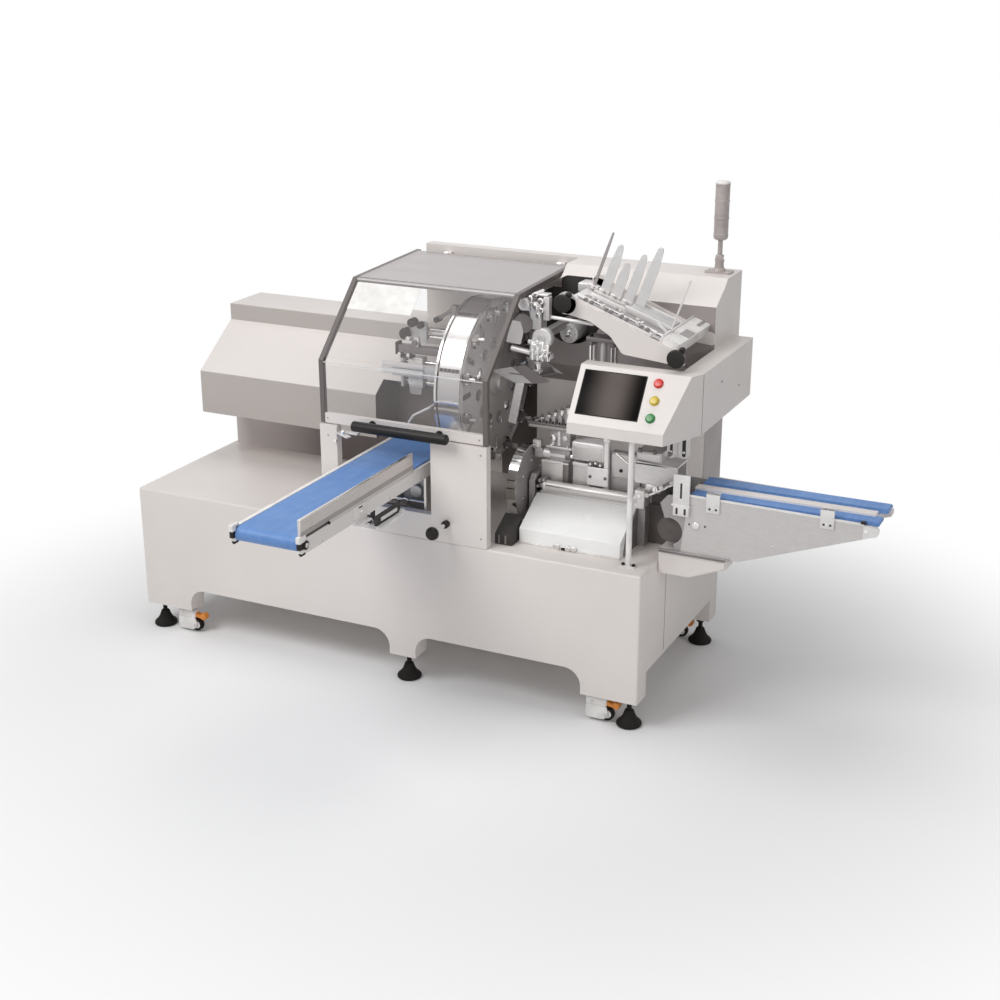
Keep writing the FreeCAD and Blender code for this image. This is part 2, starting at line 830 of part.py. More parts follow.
def guard_frame():
    """Bent square tube at each side, joined by cross bars, with a hinge lug at each hinge."""
    points = guard_profile()
    bar = size("guard_bar")
    pane = size("guard_pane")
    left = size("panel_left")
    right = size("panel_right")
    shape = band(points, 0, bar, left, bar).fuse(band(points, 0, bar, right - bar, bar))
    inner = offset_line(points, bar)
    span = right - left
    low_y, low_z = points[0]
    rail = Part.makeBox(span, bar, size("guard_low_rail"), FreeCAD.Vector(left, low_y, low_z))
    shape = shape.fuse(rail)
    for (y0, z0), (y1, z1) in ((points[1], inner[1]), (points[2], inner[2])):
        middle = FreeCAD.Vector(left, (y0 + y1) / 2, (z0 + z1) / 2)
        shape = shape.fuse(Part.makeCylinder(bar / 2, span, middle, FreeCAD.Vector(1, 0, 0)))
    brow, back = points[2], points[3]
    length = math.hypot(back[0] - brow[0], back[1] - brow[1])
    for distance in (length - bar, length - bar - size("roof_rib_gap"), length - bar - 2 * size("roof_rib_gap")):
        y = brow[0] + (back[0] - brow[0]) * distance / length
        z = brow[1] + (back[1] - brow[1]) * distance / length
        shape = shape.fuse(Part.makeBox(span, bar, bar - pane - size("rib_gap"), FreeCAD.Vector(left, y, z - bar)))
    hinge_y = size("wall_front") - size("hinge_outer_radius") - size("hinge_gap")
    hinge_z = size("guard_back_z") - bar / 2
    width = size("hinge_width")
    for x in (size("hinge_left_x"), size("hinge_right_x")):
        start = FreeCAD.Vector(x - width / 2, hinge_y, hinge_z)
        lug = Part.makeCylinder(size("hinge_outer_radius"), width / 2, start, FreeCAD.Vector(1, 0, 0))
        leaf_y = back[0] - bar
        leaf = Part.makeBox(width / 2, hinge_y - leaf_y, size("hinge_leaf"),
                            FreeCAD.Vector(x - width / 2, leaf_y, hinge_z - size("hinge_leaf")))
        hole = Part.makeCylinder(size("hinge_pin_radius") + size("running_gap"), width, start, FreeCAD.Vector(1, 0, 0))
        shape = shape.fuse(lug.fuse(leaf)).cut(hole)
    feature("guard_frame", shape.removeSplitter())


def guard_panes():
    """Clear panes: upright front, sloped front and roof, each between the side tubes."""
    points = guard_profile()
    bar = size("guard_bar")
    pane = size("guard_pane")
    left = size("panel_left") + bar
    span = size("panel_right") - size("panel_left") - 2 * bar
    front_low = (points[0][0], points[0][1] + size("guard_low_rail"))
    knee = 0.75 * bar
    panes = []
    for start, end, skip_start, skip_end in (
        (front_low, points[1], size("pane_gap"), knee),
        (points[1], points[2], knee, knee),
        (points[2], points[3], knee, bar + size("pane_back_gap")),
    ):
        length = math.hypot(end[0] - start[0], end[1] - start[1])
        along = ((end[0] - start[0]) / length, (end[1] - start[1]) / length)
        first = (start[0] + along[0] * skip_start, start[1] + along[1] * skip_start)
        last = (end[0] - along[0] * skip_end, end[1] - along[1] * skip_end)
        panes.append(band([first, last], 0, pane, left, span))
    feature("guard_panes", Part.makeCompound(panes))


def guard_hinges():
    """Hinge knuckles with pins, that stand on the front of the rear wall."""
    hinges = []
    for side, x in (("left", "hinge_left_x"), ("right", "hinge_right_x")):
        knuckle = rod(f"knuckle_{side}", "x", f"{x} + hinge_gap", HINGE_Y, HINGE_Z, "hinge_outer_radius",
                      "hinge_width / 2")
        leaf = box(f"wall_leaf_{side}", f"{x} + hinge_gap", HINGE_Y, f"{HINGE_Z} - hinge_leaf", "hinge_width / 2",
                   "hinge_outer_radius + hinge_gap", "2 * hinge_leaf")
        pin = rod(f"pin_{side}", "x", f"{x} - hinge_width / 2", HINGE_Y, HINGE_Z, "hinge_pin_radius",
                  "hinge_width / 2 + lap")
        hinges += [knuckle, leaf, pin]
    return hinges


def guard_grip():
    """Black grip bar on two pins in front of the guard's lower rail."""
    z = "panel_top + guard_gap + guard_low_rail / 2"
    y = "guard_low_y - grip_standoff - grip_radius"
    bar = rod("grip_bar", "x", "grip_left", y, z, "grip_radius", "grip_right - grip_left")
    pins = [
        rod(f"grip_pin_{side}", "y", x, y, z, "grip_pin_radius", "grip_standoff + grip_radius")
        for side, x in (("left", "grip_left + grip_pin_inset"), ("right", "grip_right - grip_pin_inset"))
    ]
    node("guard_grip", fuse("guard_grip", [bar] + pins))


DISC_LEFT = "(drum_left + drum_width - drum_disc)"
BEARING_LEFT = "(drum_left - bearing_gap - bearing_thickness)"


def drum_rim():
    outer = rod("rim_outer", "x", "drum_left", "drum_y", "drum_z", "drum_radius", "drum_width")
    inner = rod("rim_inner", "x", "drum_left - overrun", "drum_y", "drum_z", "drum_radius - drum_rim",
                "drum_width + 2 * overrun")
    node("drum_rim", cut("drum_rim", outer, inner))


def drum_disc():
    """Disc inside the rim's right edge with a ring of radial slots, its hub, shaft and nose."""
    body = doc.addObject("PartDesign::Body", "slotted_disc")
    sketch = body.newObject("Sketcher::SketchObject", "disc_sketch")
    sketch.AttachmentSupport = [(origin_plane(body, "YZ_Plane"), "")]
    sketch.MapMode = "FlatFace"
    centre = FreeCAD.Vector(0, 0, 0)
    axis = FreeCAD.Vector(0, 0, 1)
    for index, (radius, text) in enumerate((
        (size("drum_radius") - size("drum_rim"), "drum_radius - drum_rim"),
        (size("drum_shaft_radius"), "drum_shaft_radius"),
    )):
        sketch.addGeometry(Part.Circle(centre, axis, radius), False)
        sketch.addConstraint(Sketcher.Constraint("Coincident", index, 3, -1, 1))
        number = sketch.addConstraint(Sketcher.Constraint("Radius", index, radius))
        sketch.setExpression(f"Constraints[{number}]", sized(text))
    pad = body.newObject("PartDesign::Pad", "disc_pad")
    pad.Profile = sketch
    bind(pad, {"Length": "drum_disc"})
    body.Tip = pad
    slot_top = "drum_radius - slot_edge_gap"
    slot = rectangle("-slot_width / 2", f"{slot_top} - slot_length", "slot_width / 2", slot_top)
    pocket = pocketed(body, "disc_slot", "YZ_Plane", slot, "drum_disc")
    pattern = body.newObject("PartDesign::PolarPattern", "disc_slots")
    pattern.Originals = [pocket]
    pattern.Axis = (next(f for f in body.Origin.OriginFeatures if f.Role == "X_Axis"), [""])
    pattern.Angle = 360
    bind(pattern, {"Occurrences": "drum_slots"})
    body.Tip = pattern
    place(body, DISC_LEFT, "drum_y", "drum_z")
    start = f"{BEARING_LEFT} + drum_shaft_inset"
    nose_left = f"{DISC_LEFT} + drum_disc"
    shaft = rod("shaft_bar", "x", start, "drum_y", "drum_z", "drum_shaft_radius", f"{nose_left} - ({start})")
    hub = rod("shaft_hub", "x", f"{DISC_LEFT} - drum_hub_length", "drum_y", "drum_z", "drum_hub_radius",
              "drum_hub_length")
    nose = rod("shaft_nose", "x", nose_left, "drum_y", "drum_z", "drum_hub_radius", "drum_nose_length")
    node("drum_disc", fuse("drum_disc", [body, shaft, hub, nose]))


def drum_grippers():
    """Ring of bag gripper blocks on the disc's right face."""
    x = size("drum_left") + size("drum_width")
    length, width, height = size("gripper_length"), size("gripper_width"), size("gripper_height")
    count = int(size("gripper_count"))
    low_z = size("drum_radius") - size("gripper_edge_gap") - height
    blocks = []
    for index in range(count):
        low = FreeCAD.Vector(x, -width / 2, low_z)
        body = Part.makeBox(length, width, height, low)
        jaw = Part.makeBox(length / 2, width / 3, height, low + FreeCAD.Vector(length, width / 3, 0))
        block = body.fuse(jaw).removeSplitter()
        block.rotate(FreeCAD.Vector(), FreeCAD.Vector(1, 0, 0), (index + 0.5) * 360 / count)
        block.translate(FreeCAD.Vector(0, size("drum_y"), size("drum_z")))
        blocks.append(block)
    feature("drum_grippers", Part.makeCompound(blocks))


def drum_bearing():
    """Arm from the rear wall that carries the drum's shaft."""
    arm = box("bearing_arm", BEARING_LEFT, "bearing_front", "bearing_low", "bearing_thickness",
              "wall_front - bearing_front", "bearing_high - bearing_low")
    bore = rod("bearing_bore", "x", f"{BEARING_LEFT} - overrun", "drum_y", "drum_z",
               "drum_shaft_radius + running_gap", "bearing_thickness + 2 * overrun")
    node("drum_bearing", cut("drum_bearing", arm, bore))


PUSHER_LEFT = f"({BEARING_LEFT} - pusher_rod_length)"
BLOCK_LEFT = f"({PUSHER_LEFT} + pusher_block_offset - pusher_block_length)"


def pusher():
    """Two rods from the bearing arm with an end plate, and the carriage that slides on them."""
    rods = [
        rod(f"pusher_rod_{side}", "x", PUSHER_LEFT, "pusher_y", z, "pusher_rod_radius", "pusher_rod_length")
        for side, z in (("low", "pusher_low_z"), ("high", "pusher_high_z"))
    ]
    end = box("pusher_end", f"{PUSHER_LEFT} - pusher_end_plate", "pusher_y - pusher_block_width / 2",
              "pusher_low_z - pusher_block_margin", "pusher_end_plate", "pusher_block_width",
              "pusher_high_z - pusher_low_z + 2 * pusher_block_margin")
    node("pusher_rods", fuse("pusher_rods", rods + [end]))
    block = box("pusher_block", BLOCK_LEFT, "pusher_y - pusher_block_width / 2", "pusher_low_z - pusher_block_margin",
                "pusher_block_length", "pusher_block_width", "pusher_high_z - pusher_low_z + 2 * pusher_block_margin")
    plate = box("pusher_plate", BLOCK_LEFT, "pusher_y - pusher_block_width / 2",
                "pusher_low_z - pusher_block_margin - pusher_plate_height",
                "pusher_plate_length", "pusher_plate_thickness", "pusher_plate_height")
    bores = [
        rod(f"carriage_bore_{side}", "x", f"{BLOCK_LEFT} - overrun", "pusher_y", z, "pusher_rod_radius + running_gap",
            "pusher_block_length + 2 * overrun")
        for side, z in (("low", "pusher_low_z"), ("high", "pusher_high_z"))
    ]
    solid = fuse("carriage_solid", [block, plate])
    node("pusher_carriage", cut("pusher_carriage", solid, fuse("carriage_bores", bores)))


def bag_gripper():
    """Beam from the head housing with the clamp head that opens the bags."""
    beam = box("gripper_beam", "gripper_beam_x", "gripper_beam_front", "gripper_beam_bottom", "gripper_beam_width",
               "head_front - gripper_beam_front", "gripper_beam_top - gripper_beam_bottom")
    head = box("clamp_head", "gripper_beam_x", "gripper_beam_front", "gripper_beam_top", "clamp_head_width",
               "clamp_head_depth", "clamp_head_top - gripper_beam_top")
    arm = box("clamp_arm", "gripper_beam_x + clamp_arm_inset", "gripper_beam_front",
              "gripper_beam_bottom - clamp_arm_drop",
              "clamp_head_width - 2 * clamp_arm_inset", "clamp_head_depth", "clamp_arm_drop")
    octagon = doc.addObject("Part::Prism", "octagon")
    octagon.Polygon = 8
    octagon.Placement = FreeCAD.Placement(FreeCAD.Vector(), TURNS["y"])
    bind(octagon, {"Circumradius": "octagon_radius", "Height": "octagon_length"})
    place(octagon, "gripper_beam_x + gripper_beam_width / 2", "gripper_beam_front - octagon_length",
          "gripper_beam_bottom + octagon_rise")
    node("bag_gripper", fuse("bag_gripper", [beam, head, arm, octagon]))


def bag_spreader():
    """Two pointed wing plates on a post under the gripper beam."""
    wing = [
        ("wing_left", "wing_z"),
        ("wing_right", "wing_z"),
        ("wing_left", "wing_z + wing_rise"),
    ]
    plate = padded("wing_plate", "XZ_Plane", wing, "gripper_beam_front", "wing_depth")
    post = rod("wing_post", "z", "gripper_beam_x + wing_post_x", "gripper_beam_front + wing_post_y", "wing_z",
               "wing_post_radius", "gripper_beam_bottom - clamp_arm_drop - wing_z")
    node("bag_spreader", fuse("bag_spreader", [plate, post]))


WHEEL_DISC = "(wheel_left + wheel_width - wheel_disc)"
WHEEL_BEARING = "(wheel_left + wheel_width + wheel_bearing_gap)"


def transfer_wheel():
    """Lower wheel: rim, disc, hub and shaft in one piece."""
    outer = rod("wheel_outer", "x", "wheel_left", "wheel_y", "wheel_z", "wheel_radius", "wheel_width")
    inner = rod("wheel_inner", "x", "wheel_left - overrun", "wheel_y", "wheel_z", "wheel_radius - wheel_rim",
                "wheel_width - wheel_disc + overrun")
    rim = cut("wheel_rim_ring", outer, inner)
    hub = rod("wheel_hub", "x", "wheel_left + wheel_hub_inset", "wheel_y", "wheel_z", "wheel_hub_radius",
              "wheel_width - wheel_hub_inset")
    shaft = rod("wheel_shaft", "x", "wheel_left + wheel_hub_inset", "wheel_y", "wheel_z", "wheel_shaft_radius",
                "wheel_width - wheel_hub_inset + wheel_bearing_gap + wheel_bearing_thickness")
    node("transfer_wheel", fuse("transfer_wheel", [rim, hub, shaft]))
    post = box("wheel_bearing_post", WHEEL_BEARING, "wheel_y - wheel_bearing_width / 2", "bed_top",
               "wheel_bearing_thickness", "wheel_bearing_width", "wheel_z + wheel_bearing_width / 2 - bed_top")
    foot = box("wheel_bearing_foot", WHEEL_BEARING, "wheel_y - wheel_bearing_width / 2", "base_top",
               "wheel_bearing_thickness", "wheel_bearing_width", "bed_top - base_top")
    bore = rod("wheel_bearing_bore", "x", f"{WHEEL_BEARING} - overrun", "wheel_y", "wheel_z",
               "wheel_shaft_radius + running_gap", "wheel_bearing_thickness + 2 * overrun")
    node("wheel_bearing", cut("wheel_bearing", fuse("wheel_bearing_solid", [post, foot]), bore))


INFEED_FRONT = "(base_front - infeed_reach)"
LOOP_Z = "(infeed_top - infeed_loop_radius)"
LOOP_FRONT = f"({INFEED_FRONT} + infeed_loop_radius)"
LOOP_BACK = "(infeed_back - infeed_loop_radius)"


def stadium(name, radius):
    """Rounded bar as long as the conveyor loop, across the belt's width."""
    front = rod(name + "_front", "x", "infeed_left", LOOP_FRONT, LOOP_Z, radius, "infeed_right - infeed_left")
    back = rod(name + "_back", "x", "infeed_left", LOOP_BACK, LOOP_Z, radius, "infeed_right - infeed_left")
    middle = box(name + "_middle", "infeed_left", LOOP_FRONT, f"{LOOP_Z} - ({radius})",
                 "infeed_right - infeed_left", f"{LOOP_BACK} - {LOOP_FRONT}", f"2 * ({radius})")
    return fuse(name, [front, back, middle])


def infeed_conveyor():
    belt = cut("infeed_belt", stadium("loop_outer", "infeed_loop_radius"),
               stadium("loop_inner", "infeed_loop_radius - infeed_belt"))
    node("infeed_belt", belt)
    rollers = []
    for end, y in (("front", LOOP_FRONT), ("back", LOOP_BACK)):
        drum = rod(f"roller_{end}_drum", "x", "infeed_left", y, LOOP_Z,
                   "infeed_loop_radius - infeed_belt - infeed_loop_gap", "infeed_right - infeed_left")
        pin = rod(f"roller_{end}_pin", "x", "infeed_left - infeed_plate_gap - infeed_plate", y, LOOP_Z,
                  "roller_pin_radius", "infeed_right - infeed_left + 2 * infeed_plate_gap + 2 * infeed_plate")
        rollers.append(fuse(f"roller_{end}", [drum, pin]))
    node("infeed_rollers", group("infeed_rollers", rollers))
    left_face = "(infeed_left - infeed_plate_gap - infeed_plate)"
    right_face = "(infeed_right + infeed_plate_gap)"
    plate_low = "infeed_top - infeed_frame_drop"
    length = f"infeed_back - {INFEED_FRONT} - 2 * infeed_end_inset"
    parts = [
        box(f"infeed_plate_{side}", x, f"{INFEED_FRONT} + infeed_end_inset", plate_low, "infeed_plate", length,
            "infeed_frame_drop - infeed_plate_drop")
        for side, x in (("left", left_face), ("right", right_face))
    ]
    bed_top = "infeed_top - infeed_belt - infeed_bed_gap"
    parts.append(box("infeed_bed", f"{left_face} + infeed_plate", f"{LOOP_FRONT} + infeed_bed_inset",
                     f"{bed_top} - infeed_bed", f"{right_face} - {left_face} - infeed_plate",
                     f"{LOOP_BACK} - {LOOP_FRONT} - 2 * infeed_bed_inset", "infeed_bed"))
    holes = [
        rod(f"roller_hole_{end}", "x", f"{left_face} - overrun", y, LOOP_Z, "roller_pin_radius",
            f"{right_face} + infeed_plate - {left_face} + 2 * overrun")
        for end, y in (("front", LOOP_FRONT), ("back", LOOP_BACK))
    ]
    frame = cut("infeed_frame", fuse("infeed_frame_solid", parts), fuse("roller_holes", holes))
    node("infeed_frame", frame)
    rail = box("infeed_rail", right_face, INFEED_FRONT, "infeed_top - infeed_plate_drop", "infeed_plate",
               f"rail_end - {INFEED_FRONT}", "rail_height + infeed_plate_drop")
    node("infeed_rail", rail)
    supports = []
    for side, x in (("left", f"{left_face} + support_inset"),
                    ("right", f"{right_face} + infeed_plate - support_inset - support_plate")):
        plate = box(f"support_{side}_plate", x, "support_front", "base_top", "support_plate", "support_length",
                    f"{plate_low} - base_top")
        foot_x = f"{x} + support_plate / 2 - support_foot_width / 2"
        foot = box(f"support_{side}_foot", foot_x, "support_front", "base_top", "support_foot_width",
                   "support_length", "support_foot_height")
        hollow = box(f"support_{side}_hollow", f"{foot_x} - overrun", "support_front - overrun",
                     "base_top + support_foot_wall", "support_foot_width + 2 * overrun",
                     "support_length + 2 * overrun", "support_foot_height - 2 * support_foot_wall")
        supports.append(fuse(f"support_{side}", [plate, cut(f"support_{side}_channel", foot, hollow)]))
    node("infeed_support", group("infeed_support", supports))


def sealing_station():
    cover = [
        ("cover_front", "base_top"),
        ("cover_front", "base_top + cover_lip"),
        ("cover_back", "cover_top"),
        ("cover_back", "base_top"),
    ]
    node("seal_cover", padded("seal_cover", "YZ_Plane", cover, "cover_left", "cover_right - cover_left"))
    bed = box("seal_bed_block", "bed_left", "cover_back", "base_top", "bed_right - bed_left", "bed_depth",
              "bed_top - base_top")
    node("seal_bed", bed)
    rail = rod("seal_rail", "x", "bed_left + seal_rail_start", "cover_back + seal_rail_inset",
               "bed_top + seal_rail_radius",
               "seal_rail_radius", "bed_right - bed_left - seal_rail_start")
    node("seal_rail", rail)


def seal_press():
    """Pedestal with flange and block, and the bank of air cylinders on top of it."""
    pedestal_height = "pedestal_top - bed_top"
    column = box("pedestal_column", "pedestal_x", "pedestal_y", "bed_top", "pedestal_length", "pedestal_width",
                 pedestal_height)
    flange = box("pedestal_flange", "pedestal_x - flange_margin", "pedestal_y - flange_margin", "pedestal_top",
                 "pedestal_length + 2 * flange_margin", "pedestal_width + 2 * flange_margin", "flange_thickness")
    block = box("pedestal_block", "pedestal_x", "pedestal_y", "pedestal_top + flange_thickness",
                "pedestal_length", "pedestal_width", "block_height")
    node("seal_pedestal", fuse("seal_pedestal", [column, flange, block]))
    plate_z = "pedestal_top + flange_thickness + block_height"
    parts = [box("bank_plate_box", "bank_left", "pedestal_y - bank_overhang", plate_z, "bank_length",
                 "pedestal_width + 2 * bank_overhang", "bank_plate")]
    first = "bank_left + bank_length / 2 - (cylinder_count - 1) * cylinder_pitch / 2"
    for index in range(int(size("cylinder_count"))):
        parts.append(rod(f"cylinder_{index}", "z", f"{first} + {index} * cylinder_pitch",
                         "pedestal_y + cylinder_setback",
                         f"{plate_z} + bank_plate", "cylinder_radius", f"cylinder_height + {index} * cylinder_step"))
    node("seal_cylinders", fuse("seal_cylinders", parts))
    drive = box("drive_case", "drive_left", "drive_y", "drive_bottom", "drive_length", "drive_width",
                "drive_top - drive_bottom")
    post = box("drive_post", "drive_left + drive_length", "drive_y", "bed_top", "drive_post_width",
               "drive_post_depth", "drive_post_top - bed_top")
    leg_box = box("drive_leg", "drive_left + drive_leg_x", "drive_y + drive_leg_y", "bed_top", "drive_leg_length",
                  "drive_leg_width", "drive_bottom - bed_top")
    node("seal_drive", fuse("seal_drive", [drive, post, leg_box]))


FACE_TILT = "atan((console_top - console_lip_top) / (console_face_back - console_front))"
FACE_TURN = FreeCAD.Rotation(FreeCAD.Vector(1, 0, 0), 1)


def on_face(obj, x, along, out="0"):
    """Puts an object on the console's sloped face, turned with it, at a distance up the slope."""
    obj.Placement = FreeCAD.Placement(FreeCAD.Vector(), FACE_TURN)
    bind(obj, {"Placement.Rotation.Angle": FACE_TILT})
    y = f"console_front + ({along}) * cos({FACE_TILT}) - ({out}) * sin({FACE_TILT})"
    z = f"console_lip_top + ({along}) * sin({FACE_TILT}) + ({out}) * cos({FACE_TILT})"
    return place(obj, x, y, z)


def console():
    profile = [
        ("console_front", "console_bottom"),
        ("console_front", "console_lip_top"),
        ("console_face_back", "console_top"),
        ("console_back", "console_top"),
        ("console_back", "console_bottom"),
    ]
    body = padded("console_box", "YZ_Plane", profile, "console_left", "console_right - console_left")
    length = "console_right - console_left"
    facet = [
        (length, "console_back"),
        (f"{length} - facet_inset", "console_front"),
        (f"{length} - facet_inset", "console_front - overrun"),
        (f"{length} + overrun", "console_front - overrun"),
        (f"{length} + overrun", "console_back"),
    ]
    pocketed(body, "console_facet", "XY_Plane", facet, "console_top + overrun")
    node("console_box", body)
    arm = box("arm_box", "arm_left", "console_back", "console_bottom", "console_right - arm_left",
              "arm_back - console_back", "console_top - console_bottom")
    node("console_arm", arm)
    rod_part = rod("post_rod", "z", "console_post_x", "console_post_y", "base_top", "console_post_radius",
                   "console_bottom - base_top")
    flange = box("post_flange", "console_post_x - post_flange_width / 2", "console_post_y - post_flange_depth / 2",
                 "base_top", "post_flange_width", "post_flange_depth", "post_flange_height")
    node("console_post", fuse("console_post", [rod_part, flange]))
    screen = doc.addObject("Part::Box", "screen_glass")
    bind(screen, {"Length": "screen_length", "Width": "screen_height", "Height": "screen_thickness"})
    on_face(screen, "screen_left", "screen_low")
    node("touch_screen", screen)
    buttons = []
    for index, colour in enumerate(("green", "yellow", "red")):
        button = doc.addObject("Part::Cylinder", f"button_{colour}")
        bind(button, {"Radius": "button_radius", "Height": "button_height"})
        on_face(button, "button_x", f"button_low + {index} * button_pitch")
        buttons.append(button)
    node("push_buttons", group("push_buttons", buttons))


MAGAZINE_TILT = "atan(magazine_drop / magazine_run)"
TABLE_TURN = FreeCAD.Rotation(FreeCAD.Vector(0, 1, 0), 1)
PLATE_BACK = "(head_front - magazine_plate)"


def on_table(obj, along, y, up):
    """Puts an object on the tilted table, turned with it, at a distance down the slope."""
    obj.Placement = FreeCAD.Placement(FreeCAD.Vector(), TABLE_TURN)
    bind(obj, {"Placement.Rotation.Angle": MAGAZINE_TILT})
    x = f"magazine_x + ({along}) * cos({MAGAZINE_TILT}) + ({up}) * sin({MAGAZINE_TILT})"
    z = f"magazine_z - ({along}) * sin({MAGAZINE_TILT}) + ({up}) * cos({MAGAZINE_TILT})"
    return place(obj, x, y, z)


def magazine_plate(name, y):
    """Side plate: a sloped top edge between the handwheels and a deeper belly below it."""
    corners = [
        ("magazine_x - plate_end", "magazine_z + plate_rise"),
        ("magazine_x + plate_end", "magazine_z + plate_shoulder"),
        ("magazine_x + magazine_run + plate_tail", "magazine_z - magazine_drop + tail_rise"),
        ("magazine_x + magazine_run + plate_tail", "magazine_z - magazine_drop - tail_drop"),
        ("magazine_x + belly_x", "magazine_z - belly_drop"),
        ("magazine_x + knee_x", "magazine_z - knee_drop"),
        ("magazine_x + throat_x", "magazine_z - throat_drop"),
        ("magazine_x - plate_end", "magazine_z - plate_heel"),
    ]
    return padded(name, "XZ_Plane", corners, y, "magazine_plate")


def magazine():
    front = magazine_plate("magazine_front_plate", "magazine_front")
    bores = [
        rod(f"handwheel_bore_{end}", "y", x, "magazine_front - overrun", z, "handwheel_shaft_radius + running_gap",
            "magazine_plate + 2 * overrun")
        for end, (x, z) in HANDWHEELS.items()
    ]
    front_plate = cut("magazine_front_bored", front, fuse("handwheel_bores", bores))
    back_plate = magazine_plate("magazine_back_plate", PLATE_BACK)
    node("magazine_plates", group("magazine_plates", [front_plate, back_plate]))
    table = doc.addObject("Part::Box", "magazine_table")
    inner_y = "magazine_front + magazine_plate"
    bind(table, {"Length": "magazine_table_length", "Width": f"{PLATE_BACK} - ({inner_y})",
                 "Height": "magazine_table_thickness"})
    on_table(table, "magazine_table_start", inner_y, "magazine_table_offset")
    node("magazine_table", table)
    fingers = []
    for index in range(int(size("finger_count"))):
        finger = doc.addObject("Part::Box", f"finger_{index}")
        bind(finger, {"Length": "finger_width", "Width": "finger_thickness", "Height": f"finger_{index + 1}_height"})
        on_table(finger, f"finger_start + {index} * finger_pitch", "finger_y",
                 "magazine_table_offset + magazine_table_thickness")
        fingers.append(finger)
    node("magazine_fingers", group("magazine_fingers", fingers))


HANDWHEELS = {
    "upper": ("magazine_x", "magazine_z"),
    "lower": ("magazine_x + magazine_run", "magazine_z - magazine_drop"),
}


def handwheel(name, x, z):
    face = "magazine_front - handwheel_standoff"
    disc = rod(name + "_disc", "y", x, f"{face} - handwheel_thickness", z, "handwheel_radius", "handwheel_thickness")
    shaft = rod(name + "_shaft", "y", x, face, z, "handwheel_shaft_radius",
                "handwheel_standoff + magazine_plate - shaft_end_gap")
    crank = rod(name + "_crank", "y", f"{x} + crank_offset * cos(crank_angle)",
                f"{face} - handwheel_thickness", f"{z} + crank_offset * sin(crank_angle)", "crank_radius",
                "crank_length")
    return fuse(name, [disc, shaft, crank])


def handwheels():
    for end, (x, z) in HANDWHEELS.items():
        node(f"handwheel_{end}", handwheel(f"wheel_{end}", x, z))


def bag_picker():
    """Picker head with four pillars on an arm from the head housing."""
    plate_low = "picker_top - picker_plate"
    plate = box("picker_plate_box", "picker_left", "picker_front", plate_low, "picker_length", "picker_depth",
                "picker_plate")
    arm = box("picker_arm", "picker_left + picker_arm_inset", "picker_front + picker_depth", plate_low,
              "picker_arm_width",
              "head_front - picker_front - picker_depth", "picker_plate")
    pillars = [
        rod(f"pillar_{i}_{j}", "z", f"picker_left + pillar_inset + {i} * (picker_length - 2 * pillar_inset)",
            f"picker_front + pillar_inset + {j} * (picker_depth - 2 * pillar_inset)",
            f"{plate_low} - pillar_drop", "pillar_radius",
            "pillar_drop")
        for i in range(2) for j in range(2)
    ]
    foot = box("picker_foot", "picker_left", "picker_front", f"{plate_low} - pillar_drop - picker_foot",
               "picker_length",
               "picker_depth", "picker_foot")
    node("bag_picker", fuse("bag_picker", [plate, arm, foot] + pillars))


OUTFEED_START = "(base_right + outfeed_gap)"
OUTFEED_END = "(base_right + outfeed_reach)"


def outfeed_conveyor():
    side = [
        ("base_right + outfeed_low_gap", "outfeed_low"),
        ("base_right + outfeed_knee", "outfeed_low"),
        (f"{OUTFEED_END} - outfeed_nose", "outfeed_nose_low"),
        (f"{OUTFEED_END} - outfeed_tip_inset", "outfeed_tip"),
        (f"{OUTFEED_END} - outfeed_tip_inset", "outfeed_top - outfeed_tip_drop"),
        (OUTFEED_START, "outfeed_top - outfeed_start_drop"),
    ]
    front = padded("outfeed_front_plate", "XZ_Plane", side, "outfeed_front", "outfeed_plate")
    back = padded("outfeed_back_plate", "XZ_Plane", side, "outfeed_front + outfeed_width - outfeed_plate",
                  "outfeed_plate")
    tray_top = "outfeed_top - outfeed_belt_thickness"
    tray = box("outfeed_tray_plate", OUTFEED_START, "outfeed_front + outfeed_plate", f"{tray_top} - outfeed_tray",
               f"{OUTFEED_END} - outfeed_tray_inset - {OUTFEED_START}", "outfeed_width - 2 * outfeed_plate",
               "outfeed_tray")
    guide = box("outfeed_guide", OUTFEED_START, "outfeed_front + outfeed_width / 2 - guide_width / 2", tray_top,
                f"{OUTFEED_END} - outfeed_guide_inset - {OUTFEED_START}", "guide_width",
                "outfeed_belt_thickness + guide_rise")
    node("outfeed_frame", fuse("outfeed_frame", [front, back, tray, guide]))
    belts = []
    near = "outfeed_front + outfeed_plate + outfeed_belt_gap"
    far = "outfeed_front + outfeed_width - outfeed_plate - outfeed_belt_gap - outfeed_belt_width"
    half = "outfeed_belt_thickness / 2"
    for name, y in (("near", near), ("far", far)):
        run = box(f"belt_{name}_run", f"{OUTFEED_START} + {half}", y, tray_top,
                  f"{OUTFEED_END} - {OUTFEED_START} - 2 * {half}", "outfeed_belt_width", "outfeed_belt_thickness")
        ends = [
            rod(f"belt_{name}_{end}", "y", x, y, f"outfeed_top - {half}", half, "outfeed_belt_width")
            for end, x in (("start", f"{OUTFEED_START} + {half}"), ("nose", f"{OUTFEED_END} - {half}"))
        ]
        belts.append(fuse(f"belt_{name}", [run] + ends))
    node("outfeed_belts", group("outfeed_belts", belts))
    shelf = box("outfeed_shelf", "base_right", "outfeed_front + shelf_inset", "shelf_bottom", "shelf_length",
                "outfeed_width - 2 * shelf_inset", "outfeed_low - shelf_bottom")
    node("outfeed_bracket", shelf)


